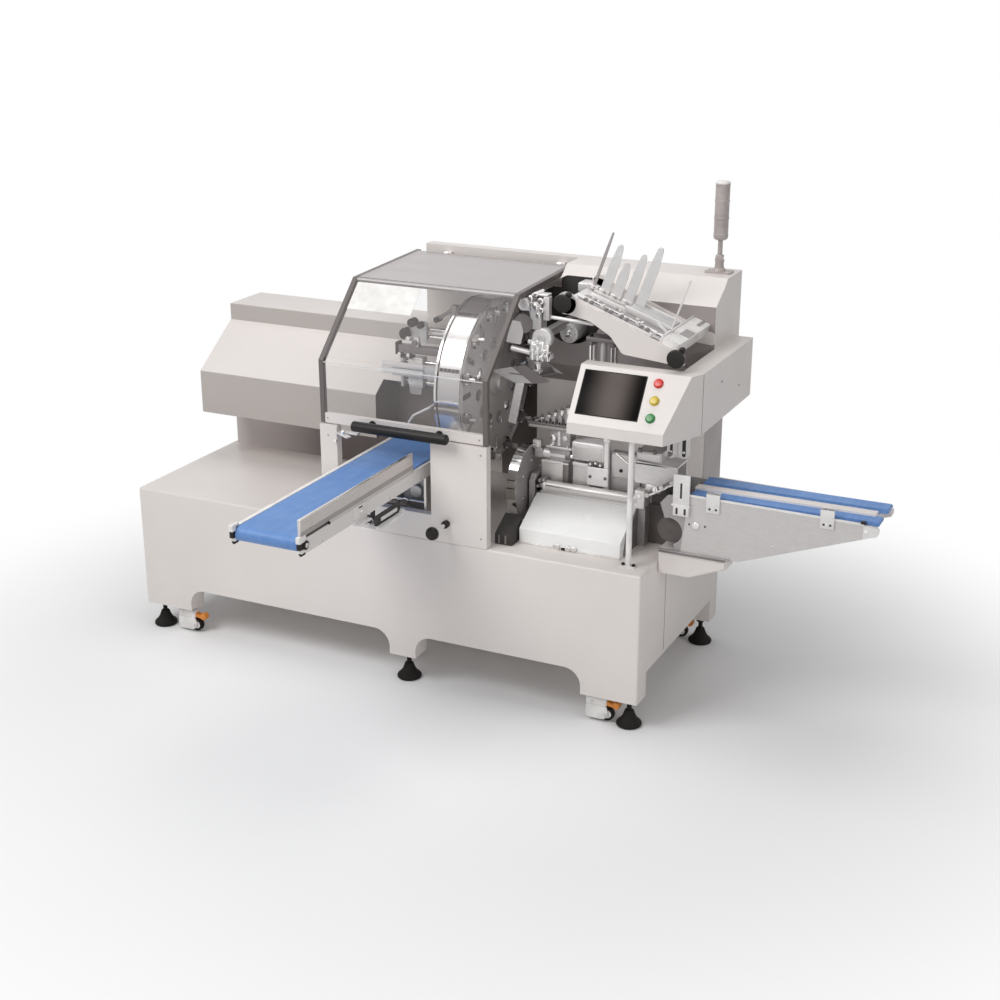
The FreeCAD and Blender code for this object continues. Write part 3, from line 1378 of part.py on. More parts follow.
base_cabinet()
base_legs()
levelling_feet()
casters()
feed_hood()
rear_housings()
signal_tower()
front_panel()
adjusting_knob()
guard_frame()
guard_panes()
guard_grip()
drum_rim()
drum_disc()
drum_grippers()
drum_bearing()
pusher()
bag_gripper()
bag_spreader()
transfer_wheel()
infeed_conveyor()
sealing_station()
seal_press()
console()
magazine()
handwheels()
bag_picker()
outfeed_conveyor()

doc.recompute()
for obj in doc.Objects:
    if "Invalid" in obj.State or "Error" in obj.State:
        raise ValueError(f"{obj.Name} failed: {obj.State}")
for obj in NODES:
    if obj.Shape.isNull() or not obj.Shape.isValid():
        raise ValueError(f"{obj.Label} has no valid shape")

os.makedirs("parts", exist_ok=True)
for obj in NODES:
    obj.Shape.exportStep(f"parts/{obj.Label}.step")
    bounds = obj.Shape.BoundBox
    print(f"{obj.Label}: {len(obj.Shape.Solids)} solids, {obj.Shape.Volume / 1e6:.2f} l,",
          f"X {bounds.XMin:.0f}..{bounds.XMax:.0f}, Y {bounds.YMin:.0f}..{bounds.YMax:.0f},",
          f"Z {bounds.ZMin:.0f}..{bounds.ZMax:.0f}")
print(f"{len(NODES)} sub-parts")
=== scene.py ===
import math

import bmesh
import bpy
from mathutils import Matrix, Vector


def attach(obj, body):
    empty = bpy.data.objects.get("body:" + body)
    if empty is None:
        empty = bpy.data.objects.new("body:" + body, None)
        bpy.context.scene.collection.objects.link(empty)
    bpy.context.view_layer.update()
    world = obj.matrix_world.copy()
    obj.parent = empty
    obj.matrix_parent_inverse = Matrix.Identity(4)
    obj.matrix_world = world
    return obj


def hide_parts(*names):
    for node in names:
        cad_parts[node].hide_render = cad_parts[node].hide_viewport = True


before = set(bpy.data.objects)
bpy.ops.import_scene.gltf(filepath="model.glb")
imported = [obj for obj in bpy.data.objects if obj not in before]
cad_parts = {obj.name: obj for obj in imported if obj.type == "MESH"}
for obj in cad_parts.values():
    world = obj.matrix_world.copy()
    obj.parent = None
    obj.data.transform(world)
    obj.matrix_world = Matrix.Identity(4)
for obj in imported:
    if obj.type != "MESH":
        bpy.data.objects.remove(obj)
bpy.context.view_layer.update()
MM = 0.001


# Shared surface effects

def add_node(tree, kind, inputs=None, **settings):
    """New shader node whose inputs get a value or another node's output. Gives back its own outputs."""
    node = tree.nodes.new("ShaderNode" + kind)
    for label, value in settings.items():
        setattr(node, label, value)
    for label, value in (inputs or {}).items():
        if isinstance(value, bpy.types.NodeSocket):
            tree.links.new(value, node.inputs[label])
        else:
            node.inputs[label].default_value = value
    return node.outputs


def effect_group(name, output, build, **inputs):
    """Node group with one output, which a function builds from the group's inputs and the place."""
    tree = bpy.data.node_groups.new(name, "ShaderNodeTree")
    for label, value in inputs.items():
        kind = "NodeSocketVector" if isinstance(value, tuple) else "NodeSocketFloat"
        tree.interface.new_socket(label, in_out="INPUT", socket_type=kind).default_value = value
    tree.interface.new_socket(output, in_out="OUTPUT", socket_type="NodeSocketFloat")
    given = tree.nodes.new("NodeGroupInput").outputs
    result = tree.nodes.new("NodeGroupOutput").inputs
    where = add_node(tree, "TexCoord")["Object"]
    tree.links.new(build(tree, given, where), result[output])
    return tree


def spread(tree, given, noise):
    """Noise spread out between the group's Low and High."""
    return add_node(tree, "MapRange", {"Value": noise["Fac"], "From Min": 0.3, "From Max": 0.7,
                                       "To Min": given["Low"], "To Max": given["High"]})["Result"]


def product(tree, first, second):
    return add_node(tree, "Math", {0: first, 1: second}, operation="MULTIPLY")["Value"]


def larger(tree, first, second):
    return add_node(tree, "Math", {0: first, 1: second}, operation="MAXIMUM")["Value"]


def mottle(tree, given, where):
    """Soft cloudy value between Low and High."""
    noise = add_node(tree, "TexNoise", {"Vector": where, "Scale": given["Scale"], "Detail": 5.0})
    return spread(tree, given, noise)


def brushed(tree, given, where):
    """Fine lines along one axis, between Low and High."""
    place = add_node(tree, "VectorMath", {0: where, 1: given["Stretch"]}, operation="MULTIPLY")["Vector"]
    noise = add_node(tree, "TexNoise", {"Vector": place, "Scale": 1.0, "Detail": 3.0})
    return spread(tree, given, noise)


def grime(tree, given, where):
    """Mask that is strongest at the floor and fades out at a height, broken up by noise."""
    height = add_node(tree, "SeparateXYZ", {"Vector": where})["Z"]
    fade = add_node(tree, "MapRange", {"Value": height, "From Min": 0.0, "From Max": given["Height"],
                                       "To Min": 1.0, "To Max": 0.0})["Result"]
    noise = add_node(tree, "TexNoise", {"Vector": where, "Scale": 14.0, "Detail": 6.0})["Fac"]
    return product(tree, product(tree, fade, given["Amount"]), noise)


MOTTLE = effect_group("mottle", "Value", mottle, Scale=4.0, Low=0.0, High=1.0)
BRUSHED = effect_group("brushed", "Value", brushed, Stretch=(4.0, 300.0, 300.0), Low=0.0, High=1.0)
GRIME = effect_group("grime", "Mask", grime, Height=0.3, Amount=0.2)


class Finish:
    """Material with its shader, and helpers that place the shared effects in it."""

    def __init__(self, name, metallic=0.0, roughness=0.5, shine=0.5):
        self.material = bpy.data.materials.new(name)
        self.material.use_nodes = True
        self.tree = self.material.node_tree
        self.shader = self.tree.nodes["Principled BSDF"]
        self.shader.inputs["Metallic"].default_value = metallic
        self.shader.inputs["Roughness"].default_value = roughness
        self.shader.inputs["Specular IOR Level"].default_value = shine

    def effect(self, group, **values):
        return add_node(self.tree, "Group", values, node_tree=group)[0]

    def ramp(self, axis, start, end):
        """Smooth rise from 0 to 1 along an axis, between two places in metres."""
        where = add_node(self.tree, "TexCoord")["Object"]
        place = add_node(self.tree, "SeparateXYZ", {"Vector": where})[axis]
        return add_node(self.tree, "MapRange", {"Value": place, "From Min": start, "From Max": end},
                        interpolation_type="SMOOTHSTEP")["Result"]

    def mix(self, factor, first, second):
        """Colour between two colours or sockets."""
        first, second = [(*part, 1.0) if isinstance(part, tuple) else part for part in (first, second)]
        return add_node(self.tree, "Mix", {0: factor, 6: first, 7: second}, data_type="RGBA")[2]

    def colour(self, factor, first, second):
        self.tree.links.new(self.mix(factor, first, second), self.shader.inputs["Base Color"])

    def rough(self, group, **values):
        self.tree.links.new(self.effect(group, **values), self.shader.inputs["Roughness"])

    def bump(self, height, strength, distance):
        leaning = add_node(self.tree, "Bump", {"Strength": strength, "Distance": distance, "Height": height})
        self.tree.links.new(leaning["Normal"], self.shader.inputs["Normal"])

    def coat(self, low=0.36, high=0.47):
        """Roughness and fine grain of a powder coat."""
        self.rough(MOTTLE, Scale=9.0, Low=low, High=high)
        self.bump(self.effect(MOTTLE, Scale=420.0), 0.04, 0.0005)
        return self.material


DIRT = (0.35, 0.31, 0.28)


def shade(colour, factor):
    return tuple(min(1.0, part * factor) for part in colour)


def powder_coat(name, colour):
    made = Finish(name)
    clean = made.mix(made.effect(MOTTLE, Scale=2.5), shade(colour, 0.97), shade(colour, 1.02))
    made.colour(made.effect(GRIME, Height=0.30, Amount=0.22), clean, DIRT)
    return made.coat()


def painted_shade_coat(name, axis, start, end, first, second, low=0.36, high=0.47):
    """Coat with painted shade, passing from a lit tone to a shaded one along an axis, from a start to an end in
    metres.
    """
    made = Finish(name)
    body = made.mix(made.ramp(axis, start, end), first, second)
    made.colour(made.effect(MOTTLE, Scale=3.0, Low=0.0, High=0.04), body, shade(second, 0.85))
    return made.coat(low, high)


def brushed_metal(name, colour, stretch, low=0.24, high=0.40, metallic=1.0):
    made = Finish(name, metallic)
    lines = made.effect(BRUSHED, Stretch=stretch)
    made.colour(lines, shade(colour, 0.95), shade(colour, 1.03))
    made.rough(BRUSHED, Stretch=stretch, Low=low, High=high)
    made.bump(lines, 0.05, 0.0003)
    return made.material


def polished_metal(name, colour, low=0.06, high=0.14):
    made = Finish(name, 1.0)
    made.colour(made.effect(MOTTLE, Scale=7.0), shade(colour, 0.93), shade(colour, 1.04))
    made.rough(MOTTLE, Scale=12.0, Low=low, High=high)
    return made.material


def moulded(name, colour, low=0.38, high=0.52, grain=900.0, strength=0.12, shine=0.5):
    made = Finish(name, shine=shine)
    made.colour(made.effect(MOTTLE, Scale=18.0), shade(colour, 0.88), shade(colour, 1.12))
    made.rough(MOTTLE, Scale=30.0, Low=low, High=high)
    made.bump(made.effect(MOTTLE, Scale=grain), strength, 0.0004)
    return made.material


def belt_blue():
    """Smooth belt with a faint fabric weave and scuffs along its run."""
    made = Finish("belt_blue")
    scuffs = made.effect(BRUSHED, Stretch=(60.0, 3.0, 20.0))
    body = made.mix(scuffs, (0.095, 0.215, 0.50), (0.120, 0.260, 0.57))
    made.colour(made.effect(MOTTLE, Scale=5.0, Low=0.0, High=0.35), body, (0.17, 0.33, 0.64))
    made.rough(MOTTLE, Scale=16.0, Low=0.40, High=0.55)
    made.bump(made.effect(MOTTLE, Scale=700.0), 0.10, 0.0003)
    return made.material


def clear_sheet(name, colour, alpha):
    made = Finish(name)
    made.colour(made.effect(MOTTLE, Scale=3.0), shade(colour, 0.96), colour)
    made.rough(MOTTLE, Scale=6.0, Low=0.04, High=0.09)
    made.shader.inputs["Alpha"].default_value = alpha
    return made.material


def screen_finish():
    """Dark screen with a lighter band up its middle: a painted reflection of the room in the glass."""
    made = Finish("screen_dark", shine=0.05)
    band = product(made.tree, made.ramp("X", 0.445, 0.560), made.ramp("X", 0.670, 0.575))
    made.colour(band, (0.004, 0.003, 0.003), (0.125, 0.105, 0.095))
    made.rough(MOTTLE, Scale=8.0, Low=0.30, High=0.38)
    return made.material


CREAM = powder_coat("cream_coat", (0.765, 0.715, 0.685))
# Darker copy of the cream coat: painted shade on the fronts of the feed hood and its rear box.
CREAM_FRONT_PAINTED_SHADE = powder_coat("cream_coat_front_painted_shade", (0.48, 0.44, 0.415))
# Dark copy of the cream coat: painted shade on the column's right face, the head housing's lower front and the
# upper inner panel.
CREAM_DEEP_PAINTED_SHADE = powder_coat("cream_coat_deep_painted_shade", (0.33, 0.295, 0.29))
# Lighter copy of the cream coat: painted light on the column's front, which lies in shade.
CREAM_PAINTED_LIGHT = powder_coat("cream_coat_painted_light", (0.93, 0.885, 0.86))
# Near-black copy of the cream coat: painted shade inside the hood's mouth, on the column's left face and on the
# lower inner panel.
CREAM_DARKEST_PAINTED_SHADE = powder_coat("cream_coat_darkest_painted_shade", (0.15, 0.128, 0.115))
# Cream coat with painted shade: light at the hood support's left end, dark under the hood to the right.
CREAM_UNDER_PAINTED_SHADE = painted_shade_coat("cream_coat_under_painted_shade", "X", -1.42, -0.95, (0.60, 0.55, 0.53), (0.19, 0.165, 0.16))
# Seal cover sheet with painted shade: white low down, grey towards its top.
COVER_PAINTED_SHADE = painted_shade_coat("cover_sheet_painted_shade", "Z", 0.735, 0.800, (0.98, 0.98, 0.97), (0.66, 0.65, 0.64), 0.20, 0.30)
STEEL = brushed_metal("steel_brushed", (0.62, 0.60, 0.59), (5.0, 260.0, 260.0))
STEEL_Y = brushed_metal("steel_brushed_along", (0.62, 0.60, 0.59), (260.0, 5.0, 260.0))
STEEL_Z = brushed_metal("steel_brushed_up", (0.60, 0.58, 0.57), (260.0, 260.0, 5.0))
SATIN = brushed_metal("alloy_satin", (0.56, 0.54, 0.53), (40.0, 120.0, 120.0), 0.34, 0.48, 0.45)
PALE = brushed_metal("alloy_pale", (0.74, 0.72, 0.71), (40.0, 120.0, 120.0), 0.30, 0.42, 0.25)
CAST = brushed_metal("alloy_cast", (0.37, 0.35, 0.345), (40.0, 120.0, 120.0), 0.38, 0.52, 0.35)
DARK_ALLOY = brushed_metal("alloy_dark", (0.20, 0.18, 0.175), (40.0, 120.0, 120.0), 0.36, 0.5, 0.4)
DEEP = moulded("deep_shade", (0.13, 0.115, 0.110), 0.6, 0.8, shine=0.1)
CHROME = polished_metal("chrome_bright", (0.80, 0.79, 0.78))
BAND = polished_metal("drum_band", (0.70, 0.685, 0.675), 0.14, 0.24)
BLACK = moulded("black_moulded", (0.014, 0.012, 0.011), 0.34, 0.48, shine=0.25)
RUBBER = moulded("black_tread", (0.014, 0.012, 0.011), 0.60, 0.78, 500.0, 0.2, 0.15)
SHADOW = moulded("slot_shadow", (0.030, 0.026, 0.024), 0.6, 0.8)
GREY = moulded("lamp_grey", (0.42, 0.375, 0.36), 0.30, 0.42)
WHITE = moulded("white_moulded", (0.80, 0.78, 0.76), 0.35, 0.48)
GUARD = powder_coat("guard_grey", (0.135, 0.115, 0.110))
ORANGE = moulded("pedal_orange", (0.72, 0.25, 0.035), 0.35, 0.5)
RED = moulded("button_red", (0.62, 0.035, 0.025), 0.15, 0.25, 300.0, 0.03)
YELLOW = moulded("button_yellow", (0.62, 0.46, 0.04), 0.15, 0.25, 300.0, 0.03)
GREEN = moulded("button_green", (0.03, 0.22, 0.05), 0.15, 0.25, 300.0, 0.03)
BELT = belt_blue()
PANE = clear_sheet("acrylic_clear", (0.60, 0.56, 0.55), 0.10)
# The roof sheet is the clear acrylic made mostly opaque and grey: painted glare of the room on the shallow
# roof.
ROOF_PANE = clear_sheet("acrylic_painted_glare", (0.50, 0.46, 0.45), 0.84)
FROST = clear_sheet("frosted_strip", (0.80, 0.79, 0.79), 0.72)
SCREEN = screen_finish()


# Building pieces

AXES = {"x": Vector((1, 0, 0)), "y": Vector((0, 1, 0)), "z": Vector((0, 0, 1))}
SQUARE = 0.95  # how far a face's normal has to point along an axis to count as facing it
SHARP_FROM = math.radians(32)
EDGE_FROM = math.radians(40)


def spot(axis, along, first, second):
    """Point from its place along an axis and its two other coordinates in x, y, z order."""
    point = [first, second]
    point.insert("xyz".index(axis), along)
    return Vector(point)


def ring(count, radius, x=0, y=0, start=0.0):
    """Points on a circle about a centre, a start being the share of a step that the first one is turned."""
    angles = [math.tau * (step + start) / count for step in range(count)]
    return [(x + radius * math.cos(angle), y + radius * math.sin(angle)) for angle in angles]


def unique(items):
    """Each item once, in a fixed order, so that each run gives the same meshes."""
    return list(dict.fromkeys(items))


def running(edges, axis):
    """The edges that run along an axis."""
    return [e for e in edges if abs((e.verts[1].co - e.verts[0].co).normalized().dot(AXES[axis])) > 0.99]


def turned_about(centre, angle, axis="X"):
    """Turn by an angle about an axis, followed by a move to the centre."""
    return Matrix.Translation(centre) @ Matrix.Rotation(angle, 4, axis)


class Piece:
    """One piece, built up in millimetres in one mesh. Its finishes are listed as they are used.

    A tool, which is only cut out of a piece or joined on to it, needs no name.
    """

    def __init__(self, name="tool", slot="", body="machine"):
        self.name = name
        self.body = body
        self.slot = slot
        self.finishes = []
        self.bm = bmesh.new()
        self.placed = self.bm.faces.layers.int.new("placed")
        self.turn = Matrix()

    def number(self, finish):
        if finish not in self.finishes:
            self.finishes.append(finish)
        return self.finishes.index(finish)

    def settle(self, finish):
        """Gives the newest shape its finish and puts it in its place."""
        fresh = [face for face in self.bm.faces if not face[self.placed]]
        corners = unique(vert for face in fresh for vert in face.verts)
        bmesh.ops.transform(self.bm, matrix=self.turn, verts=corners)
        number = self.number(finish)
        for face in fresh:
            face.material_index = number
            face.smooth = True
            face[self.placed] = 1

    def soften(self, edges, width, steps=None):
        """Rounds edges, in 2 steps up to 3 mm and in 3 steps above, unless their number is given."""
        steps = steps or (3 if width > 3 else 2)
        bmesh.ops.bevel(self.bm, geom=edges, offset=width, offset_type="OFFSET", segments=steps, profile=0.5,
                        affect="EDGES", clamp_overlap=True, material=-1)

    def block(self, x0, x1, y0, y1, z0, z1, finish, rounded=0, steps=None, only=None):
        """Box between two corners. Its edges are rounded, or only those along one axis."""
        place = Matrix.Translation(((x0 + x1) / 2, (y0 + y1) / 2, (z0 + z1) / 2))
        size = Matrix.Diagonal((x1 - x0, y1 - y0, z1 - z0, 1))
        verts = bmesh.ops.create_cube(self.bm, size=1.0, matrix=place @ size)["verts"]
        if rounded:
            edges = unique(edge for vert in verts for edge in vert.link_edges)
            self.soften(running(edges, only) if only else edges, rounded, steps)
        self.settle(finish)

    def blocks(self, *rows):
        for row in rows:
            self.block(*row)

    def bar(self, start, end, radius, finish, rounded=0, sides=24):
        """Round bar between two points."""
        start, end = Vector(start), Vector(end)
        run = end - start
        place = Matrix.Translation((start + end) / 2) @ run.to_track_quat("Z", "Y").to_matrix().to_4x4()
        verts = bmesh.ops.create_cone(self.bm, cap_ends=True, cap_tris=False, segments=sides, radius1=radius,
                                      radius2=radius, depth=run.length, matrix=place)["verts"]
        if rounded:
            faces = unique(face for vert in verts for face in vert.link_faces if len(face.verts) == sides)
            self.soften(unique(edge for face in faces for edge in face.edges), rounded, 3)
        self.settle(finish)

    def rod(self, axis, start, end, first, second, *rest):
        """Round bar along an axis, from start to end, at its two other coordinates in x, y, z order."""
        self.bar(spot(axis, start, first, second), spot(axis, end, first, second), *rest)

    def rods(self, axis, *rows):
        for row in rows:
            self.rod(axis, *row)

    def strut(self, start, end, wide, deep, finish, up=(0, 0, 1)):
        """Square bar between two points, wide across and deep along the up direction."""
        start, end = Vector(start), Vector(end)
        run = (end - start).normalized()
        side = run.cross(Vector(up)).normalized()
        rise = side.cross(run).normalized()
        turn = Matrix((side, rise, run)).transposed().to_4x4()
        size = Matrix.Diagonal((wide, deep, (end - start).length, 1))
        bmesh.ops.create_cube(self.bm, size=1.0, matrix=Matrix.Translation((start + end) / 2) @ turn @ size)
        self.settle(finish)

    def ball(self, centre, radius, finish):
        bmesh.ops.create_uvsphere(self.bm, u_segments=20, v_segments=12, radius=radius,
                                  matrix=Matrix.Translation(centre))
        self.settle(finish)

    def plate(self, axis, start, depth, outline, finish, rounded=0, steps=None, all_edges=False):
        """Flat outline, extruded along an axis. The outline's corners are rounded, or all edges."""
        verts = [self.bm.verts.new(spot(axis, start, a, b)) for a, b in outline]
        face = self.bm.faces.new(verts)
        swept = bmesh.ops.extrude_face_region(self.bm, geom=[face])["geom"]
        far = [part for part in swept if isinstance(part, bmesh.types.BMVert)]
        bmesh.ops.translate(self.bm, vec=AXES[axis] * depth, verts=far)
        if rounded:
            edges = unique(edge for vert in verts + far for edge in vert.link_edges)
            self.soften(edges if all_edges else running(edges, axis), rounded, steps)
        self.settle(finish)

    def turned(self, centre, axis, profile, finish, steps=32):
        """Profile of (radius, height) points spun round an axis. Off the axis it is closed to a ring."""
        centre = Vector(centre)
        side = AXES["y"] if axis == "x" else AXES["x"]
        line = [self.bm.verts.new(centre + side * radius + AXES[axis] * height) for radius, height in profile]
        edges = [self.bm.edges.new(pair) for pair in zip(line, line[1:])]
        if profile[0][0] > 0:
            edges.append(self.bm.edges.new((line[-1], line[0])))
        bmesh.ops.spin(self.bm, geom=line + edges, cent=centre, axis=AXES[axis], angle=math.tau, steps=steps,
                       use_merge=True)
        fresh = unique(vert for face in self.bm.faces if not face[self.placed] for vert in face.verts)
        bmesh.ops.remove_doubles(self.bm, verts=fresh, dist=0.001)
        self.settle(finish)

    def screw(self, point, axis, radius, height, finish, dark, sign=-1):
        """Round screw head standing on a surface at the point, with a dark disc on top as painted shade of its
        socket.
        """
        point = Vector(point)
        out = AXES[axis] * sign
        self.bar(point, point + out * height, radius, finish, radius * 0.15, 16)
        self.bar(point + out * (height - 0.5), point + out * (height + 0.2), radius * 0.5, dark, 0, 6)

    def slot_mark(self, axis, surface, first, second, length, width, finish, upright=False, sign=-1):
        """Dark mark with round ends on a surface that faces along an axis: painted shade standing in for a
        slot.
        """
        half = (length - width) / 2
        outline = []
        for a, b in ring(16, width / 2, start=0.5):
            a += half if a > 0 else -half
            outline.append((first + b, second + a) if upright else (first + a, second + b))
        self.plate(axis, surface + 0.25 * sign, -0.5 * sign, outline, finish)

    def combined(self, tool, kind):
        """Cuts another piece's shape out of this one, or joins it on, and drops flat inner edges."""
        for face in tool.bm.faces:
            face.material_index = self.number(tool.finishes[face.material_index])
        pair = []
        for maker in (self, tool):
            bmesh.ops.recalc_face_normals(maker.bm, faces=maker.bm.faces)
            mesh = bpy.data.meshes.new("work")
            maker.bm.to_mesh(mesh)
            item = bpy.data.objects.new("work", mesh)
            bpy.context.scene.collection.objects.link(item)
            pair.append(item)
        change = pair[0].modifiers.new("change", "BOOLEAN")
        change.object = pair[1]
        change.operation = kind
        change.solver = "EXACT"
        seen = bpy.context.evaluated_depsgraph_get()
        result = bpy.data.meshes.new_from_object(pair[0].evaluated_get(seen))
        tool.bm.free()
        self.bm.clear()
        self.bm.from_mesh(result)
        bmesh.ops.dissolve_limit(self.bm, angle_limit=math.radians(0.5), verts=self.bm.verts,
                                 edges=self.bm.edges, delimit={"MATERIAL"})
        self.placed = self.bm.faces.layers.int.get("placed") or self.bm.faces.layers.int.new("placed")
        for face in self.bm.faces:
            face[self.placed] = 1
            face.smooth = True
        for item in pair:
            bpy.data.objects.remove(item)

    def minus(self, tool):
        self.combined(tool, "DIFFERENCE")

    def plus(self, tool):
        self.combined(tool, "UNION")

    def tint(self, finish, test):
        """Gives a finish to the faces whose normal and middle pass the test."""
        self.bm.normal_update()
        number = self.number(finish)
        for face in self.bm.faces:
            if test(face.normal, face.calc_center_median()):
                face.material_index = number

    def done(self, *nodes, edge=1.2, edge_steps=2):
        """Finished object in metres, riding on its body and standing for CAD nodes."""
        self.bm.faces.layers.int.remove(self.placed)
        bmesh.ops.recalc_face_normals(self.bm, faces=self.bm.faces)
        bmesh.ops.scale(self.bm, vec=(MM, MM, MM), verts=self.bm.verts)
        mesh = bpy.data.meshes.new(self.name)
        self.bm.to_mesh(mesh)
        self.bm.free()
        for material in self.finishes:
            mesh.materials.append(material)
        mesh.set_sharp_from_angle(angle=SHARP_FROM)
        item = bpy.data.objects.new(self.name, mesh)
        bpy.context.scene.collection.objects.link(item)
        if edge:
            soft = item.modifiers.new("edges", "BEVEL")
            soft.width = edge * MM
            soft.segments = edge_steps
            soft.limit_method = "ANGLE"
            soft.angle_limit = EDGE_FROM
            soft.harden_normals = True
        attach(item, self.body)
        if nodes:
            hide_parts(*nodes)


def dress(node, material):
    """Gives a CAD node's object its finish."""
    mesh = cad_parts[node].data
    mesh.materials.clear()
    mesh.materials.append(material)


# Cabinet with its legs

BASE_X = (-1560, 740)
BASE_Y = (-42, 911)
BASE_Z = (219, 650)
LEG_DEEP = 95
LEG_FOOT = 117
LEG_ARC = 70


def arch_leg(x0, x1, y0, left, right):
    """Leg with quarter round corners where it meets the cabinet's underside."""
    leg = Piece()
    high = BASE_Z[0] + 2
    outline = [(x0, LEG_FOOT), (x1, LEG_FOOT)]
    turn = [math.radians(15 * step) for step in range(7)]
    for x, side, round_here, angles in ((x1, 1, right, turn), (x0, -1, left, turn[::-1])):
        corner = (x + side * LEG_ARC, high) if round_here else (x, high)
        curve = [(x + side * (LEG_ARC - LEG_ARC * math.cos(a)), BASE_Z[0] - LEG_ARC + LEG_ARC * math.sin(a))
                 for a in angles if round_here]
        outline += curve + [corner] if side > 0 else [corner] + curve
    leg.plate("y", y0, LEG_DEEP, outline, CREAM)
    return leg


def cabinet():
    body = Piece("base_shell", "cream_paint")
    body.block(*BASE_X, *BASE_Y, *BASE_Z, CREAM)
    for x0, x1, left, right in ((-1560, -1325, False, True), (-339.5, -220.5, True, True),
                                (505, 740, True, False)):
        for y0 in (BASE_Y[0], BASE_Y[1] - LEG_DEEP):
            body.plus(arch_leg(x0, x1, y0, left, right))
    corners = [e for e in running(body.bm.edges, "z")
               if {round(e.verts[0].co.x), round(e.verts[0].co.y)} <= {*BASE_X, *BASE_Y}]
    tops = [e for e in body.bm.edges if min(v.co.z for v in e.verts) > BASE_Z[1] - 1]
    body.soften(corners + tops, 9, 4)
    for face in body.bm.faces:
        face.smooth = True
    body.done("base_cabinet", "base_legs", edge=0)

    trim = Piece("base_trim", "cream_paint")
    for y1, z0, z1 in ((241, 236, 630), (880, 628, 630)):
        trim.plate("x", 739.2, 1.2, [(238, z0), (y1, z0), (y1, z1), (238, z1)], SHADOW)
    for x0, x1 in ((-1500, -800), (-780, -80), (-60, 640)):
        trim.block(x0, x1, 909.2, 911.8, 270, 620, CREAM, 0.6, 1)
        for x in (x0 + 30, x1 - 30):
            for z in (330, 560):
                trim.rod("y", 910, 912.8, x, z, 14, BLACK, 0.8, 20)
                trim.block(x - 9, x + 9, 912, 913.2, z - 1.4, z + 1.4, STEEL)
    trim.done(edge=0.3)


def levelling_feet():
    feet = Piece("feet_dressed", "black_rubber")
    profile = [(0, 0), (40, 0), (47, 2), (50, 6), (50, 12), (46, 18), (36, 26), (28, 38), (22, 52), (18, 64),
               (14, 68), (9, 68), (9, 96)]
    for x in (-1510, -280, 690):
        for y in (13, 856):
            feet.turned((x, y, 0), "z", profile, RUBBER, 36)
            feet.rod("z", 66, 118, x, y, 8.6, BLACK, 0, 20)
            for z in range(70, 94, 4):
                feet.turned((x, y, z), "z", [(8.4, 0), (9.6, 1.2), (9.6, 2.0), (8.4, 3.2)], BLACK, 20)
            feet.rods("z", (96, 108, x, y, 18, BLACK, 1, 6), (108, 117, x, y, 23, BLACK, 1.5))
    feet.done("levelling_feet", edge=0)


def casters():
    stems = Piece("caster_mounts", "stainless_sheet")
    for corner, x, y in (("front_left", -1378, 5.5), ("front_right", 558, 5.5), ("back_left", -1378, 863.5),
                         ("back_right", 558, 863.5)):
        stems.block(x - 35, x + 35, y - 35, y + 35, 109, 117, STEEL, 6, 3, "z")
        stems.rods("z", (67, 110, x, y, 8, STEEL), (101.5, 109.5, x, y, 17, STEEL, 1.5, 32))
        for dx in (-24, 24):
            for dy in (-24, 24):
                stems.rod("z", 104, 109.5, x + dx, y + dy, 6, STEEL, 0, 6)
        housing = Piece(f"caster_shell_{corner}", "white_zinc", f"caster_{corner}")
        for side in (-1, 1):
            y_in, y_out = y + side * 14, y + side * 20
            low, high = min(y_in, y_out), max(y_in, y_out)
            arch = [(x - 40, 30), (x - 34, 12), (x + 30, 12), (x + 54, 26), (x + 54, 40), (x + 46, 68),
                    (x - 40, 68)]
            housing.plate("y", low, high - low, arch, WHITE, 5)
            housing.rod("y", y_out - side, y_out + side * 1.6, x + 46, 34, 9, STEEL, 0.8, 20)
        housing.block(x - 40, x + 46, y - 20, y + 20, 67, 101, WHITE, 6, 4)
        housing.rod("y", y - 20.6, y + 20.6, x - 12, 84, 7, STEEL, 0.8, 20)
        housing.plate("y", y - 13, 26, [(x + 40, 72), (x + 88, 66), (x + 92, 70), (x + 92, 76),
                      (x + 44, 90)], ORANGE, 2, 3, all_edges=True)
        housing.block(x + 72, x + 90, y - 12, y + 12, 75.5, 78.5, ORANGE, 1)
        housing.rod("y", y - 15, y + 15, x + 84, 78, 15, ORANGE, 3, 32)
        housing.done(f"caster_housing_{corner}", edge=0.8)
        wheel = Piece(f"caster_tyre_{corner}", "black_rubber", f"wheel_{corner}")
        for half, finish in (([(18, -11.5), (25.5, -12), (27.4, -9), (28, -4)], RUBBER),
                             ([(4.1, -11), (8, -11.6), (17.5, -9.5), (18.5, -9.5)], WHITE)):
            profile = half + [(radius, -height) for radius, height in half[::-1]]
            wheel.turned((x + 46, y, 34), "y", profile, finish, 40)
        wheel.rod("y", y - 20, y + 20, x + 46, 34, 4, STEEL, 0, 16)
        wheel.done(f"caster_wheel_{corner}", edge=0)
    stems.done("caster_stems", edge=0.8)


# Feed hood and rear housings

